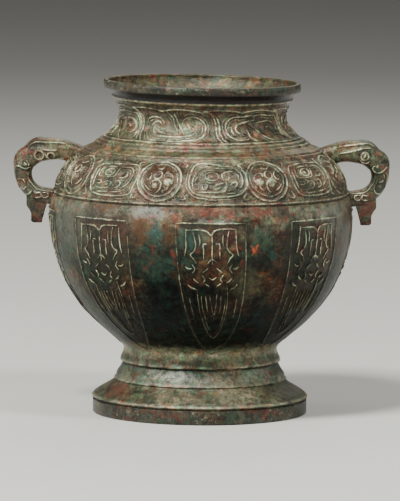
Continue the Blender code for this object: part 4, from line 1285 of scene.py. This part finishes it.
class Nodes:
    """A short way to write a material's node tree."""

    def __init__(self, tree):
        self.tree = tree

    def add(self, kind, inputs, **settings):
        node = self.tree.nodes.new(kind)
        for name, value in settings.items():
            setattr(node, name, value)
        for key, value in inputs.items():
            self.fill(node.inputs[key], value)
        return node

    def fill(self, socket, value):
        """A socket's value: a number or colour, or another node's output."""
        if isinstance(value, bpy.types.NodeSocket):
            self.tree.links.new(value, socket)
        else:
            socket.default_value = value

    def noise(self, place, size, detail, roughness, distortion=0.0):
        """A cloudy pattern with features of about a size in metres."""
        values = {"Vector": place, "Scale": 1.0 / size, "Detail": detail, "Roughness": roughness,
                  "Distortion": distortion}
        return self.add("ShaderNodeTexNoise", values)

    def band(self, value, low, high, top=1.0, bottom=0.0):
        """A smooth step from the bottom value at low to the top value at high."""
        values = {"Value": value, "From Min": low, "From Max": high, "To Min": bottom, "To Max": top}
        return self.add("ShaderNodeMapRange", values, interpolation_type="SMOOTHSTEP").outputs["Result"]

    def stretch(self, value, start, full, last, end):
        """1 between full and last, falling smoothly to 0 at start and at end."""
        return self.times(self.band(value, start, full), self.band(value, end, last))

    def math(self, operation, first, second):
        return self.add("ShaderNodeMath", {0: first, 1: second}, operation=operation).outputs[0]

    def times(self, *values):
        product = values[0]
        for value in values[1:]:
            product = self.math("MULTIPLY", product, value)
        return product

    def plus(self, *values):
        total = values[0]
        for value in values[1:]:
            total = self.math("ADD", total, value)
        return total

    def rest(self, value):
        """What a value lacks of 1."""
        return self.math("SUBTRACT", 1.0, value)

    def most(self, first, second):
        return self.math("MAXIMUM", first, second)

    def vector(self, operation, values, output=0):
        return self.add("ShaderNodeVectorMath", dict(enumerate(values)), operation=operation).outputs[output]

    def scaled(self, colour, share):
        """A colour made lighter or darker by a share."""
        return self.add("ShaderNodeVectorMath", {0: colour, 3: share}, operation="SCALE").outputs[0]

    def blend(self, share, first, second, kind="MIX"):
        """A mix of two colours."""
        colours = [(*colour, 1.0) if isinstance(colour, tuple) else colour for colour in (first, second)]
        values = {0: share, 6: colours[0], 7: colours[1]}
        return self.add("ShaderNodeMix", values, data_type="RGBA", blend_type=kind).outputs[2]

    def ramp(self, value, stops):
        node = self.add("ShaderNodeValToRGB", {"Fac": value})
        elements = node.color_ramp.elements
        while len(elements) < len(stops):
            elements.new(0.5)
        for element, (place, colour) in zip(elements, stops):
            element.position = place
            element.color = (*colour, 1.0)
        return node.outputs["Color"]

    def attribute(self, name):
        return self.add("ShaderNodeAttribute", {}, attribute_name=name).outputs["Fac"]


# Colours of the patina, with painted light and painted shade among them, as linear red, green and blue
PALE_CREST = (0.62, 0.58, 0.37)
GREEN_CREST = (0.34, 0.44, 0.28)
MALACHITE = (0.014, 0.056, 0.038)
CUPRITE = (0.135, 0.024, 0.014)
RUST = (0.090, 0.036, 0.010)
RED_BROWN = (0.066, 0.026, 0.014)
FILL_BROWN = (0.080, 0.034, 0.017)
TAB_RED = (0.075, 0.024, 0.015)
TAN_CRUST = (0.36, 0.30, 0.18)
CREAM_SPECK = (0.34, 0.32, 0.23)
GREEN_TINGE = (0.64, 1.25, 0.98)
RED_TINGE = (1.75, 0.76, 0.58)
# dark grime beside the strokes, partly painted shade in the hollows at their feet
DARK_DIRT_AND_SHADE = (0.016, 0.014, 0.009)
# painted light: a lighter olive for the belly's left side, as if lit from the left
PAINTED_LIGHT_LEFT_OLIVE = (0.022, 0.029, 0.018)
HANDLE_GREY = (0.054, 0.050, 0.034)
# The ground's colour at heights in metres, with painted light and shade in it: painted highlight lines and
# painted groove shadows on the foot, painted light on the collar's top, painted shade on the low belly,
# painted light on the upper belly and a painted shadow under the lip
GROUND_AND_PAINTED_LIGHT_STOPS = (
    (0.000, (0.029, 0.028, 0.021)),
    # painted shadow in the groove under the rim's bead, then a painted highlight line on the bead
    (0.0108, (0.030, 0.028, 0.020)),
    (0.0126, (0.200, 0.185, 0.130)),
    (0.0140, (0.052, 0.048, 0.030)),
    (0.0232, (0.074, 0.074, 0.046)),
    # painted shadow in the groove under the step's bead, then a painted highlight line on the bead
    (0.0242, (0.022, 0.021, 0.015)),
    (0.0253, (0.170, 0.165, 0.120)),
    (0.0268, (0.080, 0.085, 0.062)),
    (0.0352, (0.086, 0.094, 0.068)),
    # painted shadow under the collar's ledge, then a painted highlight line on its edge
    (0.0366, (0.018, 0.018, 0.013)),
    (0.0379, (0.018, 0.018, 0.013)),
    (0.0385, (0.260, 0.250, 0.180)),
    (0.0400, (0.078, 0.084, 0.056)),
    # the collar's top lighter: partly its pale crust, partly painted light against the belly's shadow
    (0.048, (0.210, 0.200, 0.128)),
    # painted shade: the low belly, which faces down, kept near black
    (0.054, (0.0036, 0.0052, 0.0048)),
    (0.090, (0.0018, 0.0036, 0.0036)),
    (0.115, (0.0050, 0.0082, 0.0060)),
    (0.136, (0.016, 0.019, 0.012)),
    # painted light: the upper belly, which faces up, made lighter
    (0.147, (0.088, 0.084, 0.062)),
    (0.154, (0.150, 0.138, 0.106)),
    (0.158, (0.108, 0.090, 0.056)),
    (0.184, (0.086, 0.070, 0.043)),
    (0.192, (0.112, 0.090, 0.052)),
    (0.199, (0.108, 0.092, 0.052)),
    (0.206, (0.138, 0.122, 0.076)),
    (0.2275, (0.104, 0.095, 0.064)),
    # painted shadow: near black in the hollow under the lip
    (0.2288, (0.006, 0.006, 0.009)),
    (0.2338, (0.006, 0.006, 0.009)),
    (0.2350, (0.032, 0.029, 0.020)),
)
INNER_STOPS = (
    (0.36, (0.008, 0.007, 0.004)),
    (0.44, (0.030, 0.026, 0.013)),
    (0.51, (0.072, 0.056, 0.026)),
    (0.56, (0.070, 0.032, 0.012)),
    (0.60, (0.034, 0.060, 0.036)),
    (0.68, (0.260, 0.225, 0.140)),
)
# Noises of the patina: offset, size of the features in metres, detail, roughness and distortion
NOISES = {
    "large": ((0.0, 0.0, 0.0), 0.040, 4.0, 0.55),
    "middle": ((0.0, 0.0, 0.0), 0.012, 6.0, 0.65),
    "fine": ((0.0, 0.0, 0.0), 0.0036, 6.0, 0.70),
    "grit": ((0.0, 0.0, 0.0), 0.0011, 3.0, 0.70),
    "inside": ((0.0, 0.0, 0.0), 0.008, 8.0, 0.75),
    "reddish": ((0.31, 0.17, 0.05), 0.013, 8.0, 0.72, 0.4),
    "greenish": ((0.07, 0.53, 0.11), 0.017, 8.0, 0.72, 0.4),
    "crusty": ((0.83, 0.29, 0.41), 0.0046, 7.0, 0.82),
    "green flecks": ((0.19, 0.61, 0.37), 0.0050, 8.0, 0.75),
    "red flecks": ((0.47, 0.23, 0.71), 0.0060, 8.0, 0.75),
}
# Noise that makes the stains' edges ragged: its features' size, and how far it moves a point
RAGGED_SIZE = 1 / 220
RAGGED_REACH = 0.022
# Stretches of height in metres: where each starts, is full, is last full and ends
BELLY_STRETCH = (0.048, 0.060, 0.135, 0.158)
UPPER_BELLY = (0.138, 0.146, 0.158, 0.161)
BARE_BELLY = (0.050, 0.058, 0.157, 0.161)
SHADOWED_BELLY = (0.046, 0.056, 0.100, 0.150)
CAVETTO = (0.2270, 0.2285, 0.2340, 0.2350)
RED_CREST = (0.300, 0.110, 0.070)
# How far the ground's levels drift up and down
LEVEL_DRIFT = 0.030
# Stains at chosen places of the front, with painted highlights and painted shade among them: across and up in
# metres, half width, half height, strength, colour
STAINS_AND_PAINTED_LIGHT = (
    (-0.006, 0.138, 0.010, 0.008, 0.75, (0.018, 0.080, 0.062)),
    (-0.033, 0.141, 0.007, 0.008, 0.75, (0.022, 0.075, 0.065)),
    (-0.043, 0.144, 0.007, 0.012, 0.75, RUST),
    (-0.023, 0.142, 0.005, 0.010, 0.75, RUST),
    (0.0425, 0.138, 0.008, 0.009, 0.50, (0.045, 0.085, 0.050)),
    (-0.033, 0.115, 0.011, 0.009, 0.45, (0.030, 0.060, 0.042)),
    (0.033, 0.104, 0.009, 0.012, 0.55, (0.055, 0.075, 0.045)),
    (0.003, 0.1555, 0.018, 0.0028, 0.80, CUPRITE),
    (0.043, 0.1555, 0.008, 0.0028, 0.80, CUPRITE),
    (0.002, 0.2005, 0.006, 0.0012, 1.0, (0.300, 0.040, 0.030)),
    (0.0377, 0.1286, 0.0022, 0.0026, 1.0, (0.480, 0.090, 0.035)),
    (-0.058, 0.020, 0.009, 0.004, 0.70, CUPRITE),
    (-0.022, 0.007, 0.010, 0.002, 0.45, CUPRITE),
    (0.050, 0.007, 0.008, 0.002, 0.45, CUPRITE),
    # painted highlights on the upper belly, left and right
    (-0.037, 0.1545, 0.013, 0.004, 0.50, (0.290, 0.300, 0.280)),
    (0.094, 0.147, 0.006, 0.012, 0.50, (0.200, 0.205, 0.175)),
    # painted highlight on the foot's step
    (-0.019, 0.0325, 0.014, 0.003, 0.60, (0.290, 0.300, 0.270)),
    # painted shade on the belly's left and right sides
    (-0.068, 0.125, 0.022, 0.030, 0.75, (0.012, 0.020, 0.014)),
    (0.072, 0.120, 0.020, 0.028, 0.60, (0.018, 0.018, 0.012)),
    (-0.060, 0.142, 0.010, 0.006, 0.60, (0.100, 0.026, 0.016)),
    (-0.090, 0.140, 0.010, 0.016, 0.80, (0.085, 0.088, 0.066)),
    (0.020, 0.140, 0.005, 0.008, 0.60, (0.075, 0.012, 0.010)),
)

# Grainy tan crust at chosen places of the front: across and up, half width and half height
CRUSTS = (
    (0.021, 0.034, 0.010, 0.015),
    (0.034, 0.021, 0.012, 0.006),
    (-0.034, 0.050, 0.016, 0.004),
    (0.040, 0.050, 0.014, 0.004),
    (-0.018, 0.018, 0.014, 0.004),
)


class Patina(Nodes):
    """The bronze's nodes: where a point lies, how the mesh tints it, and the noises that spread corrosion."""

    def __init__(self, tree):
        super().__init__(tree)
        self.place = self.add("ShaderNodeTexCoord", {}).outputs["Object"]
        parts = self.add("ShaderNodeSeparateXYZ", {0: self.place})
        self.across, self.depth, self.up = (parts.outputs[axis] for axis in "XYZ")
        self.distance = self.math("ABSOLUTE", self.across, 0.0)
        self.crest, self.recess, self.red, self.inner = (self.attribute(name) for name in TINTS)
        self.large, self.middle, self.fine, self.grit = map(self.cloud, ("large", "middle", "fine", "grit"))
        self.reddish, self.greenish, self.crusty = map(self.cloud, ("reddish", "greenish", "crusty"))
        self.belly = self.stretch(self.up, *BELLY_STRETCH)
        drift = self.times(self.math("SUBTRACT", self.middle, 0.5), LEVEL_DRIFT)
        drift = self.times(drift, self.plus(self.times(self.belly, 0.9), 0.1))
        tilt = self.times(self.across, MOUTH_DIP, self.band(self.up, 0.195, 0.225))
        self.height = self.plus(self.up, tilt, drift)
        self.cavetto = self.stretch(self.height, *CAVETTO)
        self.front = self.times(self.band(self.depth, -0.010, -0.030),
                                self.band(self.fine, 0.36, 0.54, 1.0, 0.35))
        shift = self.noise(self.place, RAGGED_SIZE, 6.0, 0.7).outputs["Color"]
        shift = self.vector("SUBTRACT", (shift, (0.5, 0.5, 0.5)))
        self.ragged = self.vector("MULTIPLY_ADD", (shift, (RAGGED_REACH,) * 3, self.place))

    def cloud(self, name):
        """One of the patina's noises."""
        offset, *shape = NOISES[name]
        return self.noise(self.vector("ADD", (self.place, offset)), *shape).outputs["Fac"]

    def ground(self):
        """The ground's colour by height with its painted light and shade, with the handles' and the inside's
        own, and with painted light on the left side of the belly.
        """
        stops = [(level / TOP, colour) for level, colour in GROUND_AND_PAINTED_LIGHT_STOPS]
        ground = self.ramp(self.math("DIVIDE", self.height, TOP), stops)
        handle = self.band(self.distance, 0.108, 0.116, 0.8)
        ground = self.blend(handle, ground, HANDLE_GREY)
        # painted light on the belly's left side
        left = self.times(self.band(self.across, -0.045, -0.095, 0.7), self.belly)
        ground = self.blend(left, ground, PAINTED_LIGHT_LEFT_OLIVE)
        ground = self.blend(self.inner, ground, self.ramp(self.cloud("inside"), INNER_STOPS))
        brown = self.times(self.band(self.large, 0.44, 0.58, 0.8), self.band(self.up, 0.070, 0.110, 0.7))
        return self.blend(self.times(brown, self.band(self.up, 0.235, 0.215)), ground, RED_BROWN)

    def mottled(self, ground):
        """The ground with lighter and darker clouds, and with green and red flecks."""
        clouds = self.times(self.band(self.middle, 0.36, 0.64, 1.60, 0.55),
                            self.band(self.fine, 0.36, 0.64, 1.50, 0.58),
                            self.band(self.grit, 0.32, 0.68, 1.40, 0.66))
        green, red = self.cloud("green flecks"), self.cloud("red flecks")
        dapple = self.math("SUBTRACT", self.band(green, 0.40, 0.60, 1.7, 0.45), 1.0)
        ground = self.scaled(self.scaled(ground, clouds), self.plus(self.times(dapple, self.belly), 1.0))
        ground = self.blend(self.band(green, 0.49, 0.56, 0.85), ground, GREEN_TINGE, "MULTIPLY")
        return self.blend(self.band(red, 0.52, 0.59, 0.85), ground, RED_TINGE, "MULTIPLY")

    def corroded(self, ground):
        """Patches of green and red corrosion, fewer on the low belly, the foot's rim and the cavetto."""
        low_belly = self.times(self.band(self.up, 0.125, 0.100), self.belly)
        calm = self.plus(self.times(self.rest(low_belly), 0.85), 0.15)
        plain = self.most(self.cavetto, self.times(self.stretch(self.up, *UPPER_BELLY), 0.8))
        plain = self.most(plain, self.band(self.up, 0.028, 0.022, 0.4))
        calm = self.times(calm, self.rest(plain))
        green = self.times(self.band(self.greenish, 0.53, 0.62), self.band(self.fine, 0.40, 0.56, 0.9, 0.25),
                           self.band(self.crusty, 0.42, 0.52, 1.0, 0.3), calm)
        ground = self.blend(green, ground, MALACHITE)
        ground = self.blend(self.times(self.band(self.reddish, 0.55, 0.63, 0.76), calm), ground, CUPRITE)
        return self.blend(self.times(self.band(self.reddish, 0.42, 0.36, 0.6), calm), ground, RUST)

    def spot(self, across, up, half_width, half_height):
        """How much of a point lies in a ragged oval at a chosen place of the front."""
        offset = self.vector("SUBTRACT", (self.ragged, (across, 0.0, up)))
        offset = self.vector("MULTIPLY", (offset, (1.0 / half_width, 0.0, 1.0 / half_height)))
        reach = self.vector("LENGTH", (offset,), "Value")
        return self.times(self.band(reach, 1.5, 0.4), self.front)

    def stained(self, ground):
        """Stains at chosen places, painted highlights and painted shade at others, red oxide in the fills and
        on the tabs, and dark grime beside the strokes that is partly painted shade.
        """
        for *oval_place, strength, colour in STAINS_AND_PAINTED_LIGHT:
            ground = self.blend(self.times(self.spot(*oval_place), strength), ground, colour)
        filled = self.times(self.band(self.red, 0.2, 0.9, 0.85), self.band(self.fine, 0.34, 0.50, 1.0, 0.5))
        ground = self.blend(filled, ground, FILL_BROWN)
        tabs = self.times(self.band(self.up, 0.156, 0.150), self.band(self.distance, 0.111, 0.113),
                          self.band(self.middle, 0.40, 0.54, 0.8))
        ground = self.blend(tabs, ground, TAB_RED)
        # dark grime beside the strokes, partly painted shade in the hollows at their feet
        dirt_and_shade = self.times(self.band(self.recess, 0.05, 1.0, 0.66),
                          self.band(self.middle, 0.64, 0.44, 1.0, 0.30))
        return self.blend(dirt_and_shade, ground, DARK_DIRT_AND_SHADE)

    def crust(self):
        """How thick tan crust lies, and the zones where it and its specks grow."""
        zone = self.times(self.rest(self.times(self.stretch(self.up, *BARE_BELLY), 0.85)),
                          self.rest(self.cavetto), self.band(self.large, 0.42, 0.58, 1.0, 0.20))
        crust = self.times(self.band(self.crusty, 0.555, 0.62, 0.70), zone)
        grains = self.times(self.band(self.crusty, 0.44, 0.53, 0.85),
                            self.band(self.grit, 0.42, 0.54, 1.0, 0.35))
        for oval_place in CRUSTS:
            crust = self.most(crust, self.times(self.spot(*oval_place), grains))
        return crust, zone

    def crusted(self, ground, crust, zone):
        """The crust's colour, and cream specks in its zones."""
        ground = self.blend(crust, ground, TAN_CRUST)
        specks = self.times(self.band(self.grit, 0.60, 0.68, 0.55),
                            self.band(self.large, 0.40, 0.55, 1.0, 0.25), zone)
        return self.blend(specks, ground, CREAM_SPECK)

    def crested(self, ground):
        """Pale worn crests, fainter low on the belly to go with the painted shade there."""
        pale = self.blend(self.band(self.greenish, 0.44, 0.58, 0.9), PALE_CREST, GREEN_CREST)
        pale = self.blend(self.band(self.reddish, 0.53, 0.60, 0.6), pale, RED_CREST)
        worn = self.times(self.band(self.crest, 0.40, 0.86), self.band(self.fine, 0.36, 0.54, 1.0, 0.20),
                          self.band(self.middle, 0.38, 0.54, 1.0, 0.30),
                          self.band(self.up, 0.070, 0.130, 0.90, 0.20))
        return self.blend(worn, ground, pale)

    def surface(self, shader, crust):
        """Gloss and grain: dull crust, smoother crests and a matt low belly."""
        roughness = self.plus(self.times(self.fine, 0.36), 0.14, self.times(crust, 0.30),
                              self.times(self.crest, -0.08))
        self.fill(shader.inputs["Roughness"], roughness)
        shader.inputs["Metallic"].default_value = 0.35
        dull = self.times(self.stretch(self.up, *SHADOWED_BELLY), 0.42)
        self.fill(shader.inputs["Specular IOR Level"], self.math("SUBTRACT", 0.5, dull))
        grain = self.plus(self.times(self.fine, 0.8), self.times(self.grit, 0.32), self.times(crust, 0.45))
        bump = self.add("ShaderNodeBump", {"Strength": 0.9, "Distance": 0.0009, "Height": grain})
        self.fill(shader.inputs["Normal"], bump.outputs["Normal"])


def make_bronze():
    """Old bronze: dark ground, green and red corrosion in patches, tan crust and pale worn crests, with
    painted light and shade in the colour.
    """
    material = bpy.data.materials.new("patinated_bronze")
    material.use_nodes = True
    shader = material.node_tree.nodes["Principled BSDF"]
    patina = Patina(material.node_tree)
    crust, zone = patina.crust()
    ground = patina.stained(patina.corroded(patina.mottled(patina.ground())))
    colour = patina.crested(patina.crusted(ground, crust, zone))
    patina.fill(shader.inputs["Base Color"], colour)
    patina.surface(shader, crust)
    return material


def make_stage():
    """A wide pale floor."""
    mesh = bmesh.new()
    bmesh.ops.create_circle(mesh, cap_ends=True, segments=96, radius=FLOOR_RADIUS)
    data = bpy.data.meshes.new("floor")
    mesh.to_mesh(data)
    mesh.free()
    floor = bpy.data.objects.new("floor", data)
    bpy.context.collection.objects.link(floor)
    material = bpy.data.materials.new("pale_floor")
    material.use_nodes = True
    shader = material.node_tree.nodes["Principled BSDF"]
    shader.inputs["Base Color"].default_value = (*FLOOR_COLOUR, 1.0)
    shader.inputs["Roughness"].default_value = 0.85
    data.materials.append(material)


def add_light(name, place, size, power):
    """A soft square light that faces the vase."""
    data = bpy.data.lights.new(name, "AREA")
    data.size = size
    data.energy = power
    data.color = LIGHT_COLOUR
    light = bpy.data.objects.new(name, data)
    light.location = place
    light.rotation_euler = (Vector((0.0, 0.0, TOP / 2)) - light.location).to_track_quat("-Z", "Y").to_euler()
    bpy.context.collection.objects.link(light)


def make_lights():
    for light in LIGHTS:
        add_light(*light)
    world = bpy.data.worlds.new("studio")
    world.use_nodes = True
    background = world.node_tree.nodes["Background"]
    background.inputs["Color"].default_value = (*SKY_COLOUR, 1.0)
    background.inputs["Strength"].default_value = SKY_STRENGTH
    bpy.context.scene.world = world


def make_camera():
    """The camera at the photograph's angle, turned a little about its own line of sight."""
    data = bpy.data.cameras.new("camera")
    data.lens = CAMERA_LENS
    data.sensor_width = CAMERA_SENSOR
    camera = bpy.data.objects.new("camera", data)
    bpy.context.collection.objects.link(camera)
    rise = math.radians(CAMERA_ELEVATION)
    aim = Vector(CAMERA_AIM)
    camera.location = aim + CAMERA_DISTANCE * Vector((0.0, -math.cos(rise), math.sin(rise)))
    look = (aim - camera.location).to_track_quat("-Z", "Y").to_matrix()
    camera.rotation_euler = (look @ Matrix.Rotation(math.radians(CAMERA_ROLL), 3, "Z")).to_euler()
    bpy.context.scene.camera = camera


def main():
    make_camera()
    vase = make_vase(make_bronze())
    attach(vase, "root")
    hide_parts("vase")
    make_stage()
    make_lights()


main()
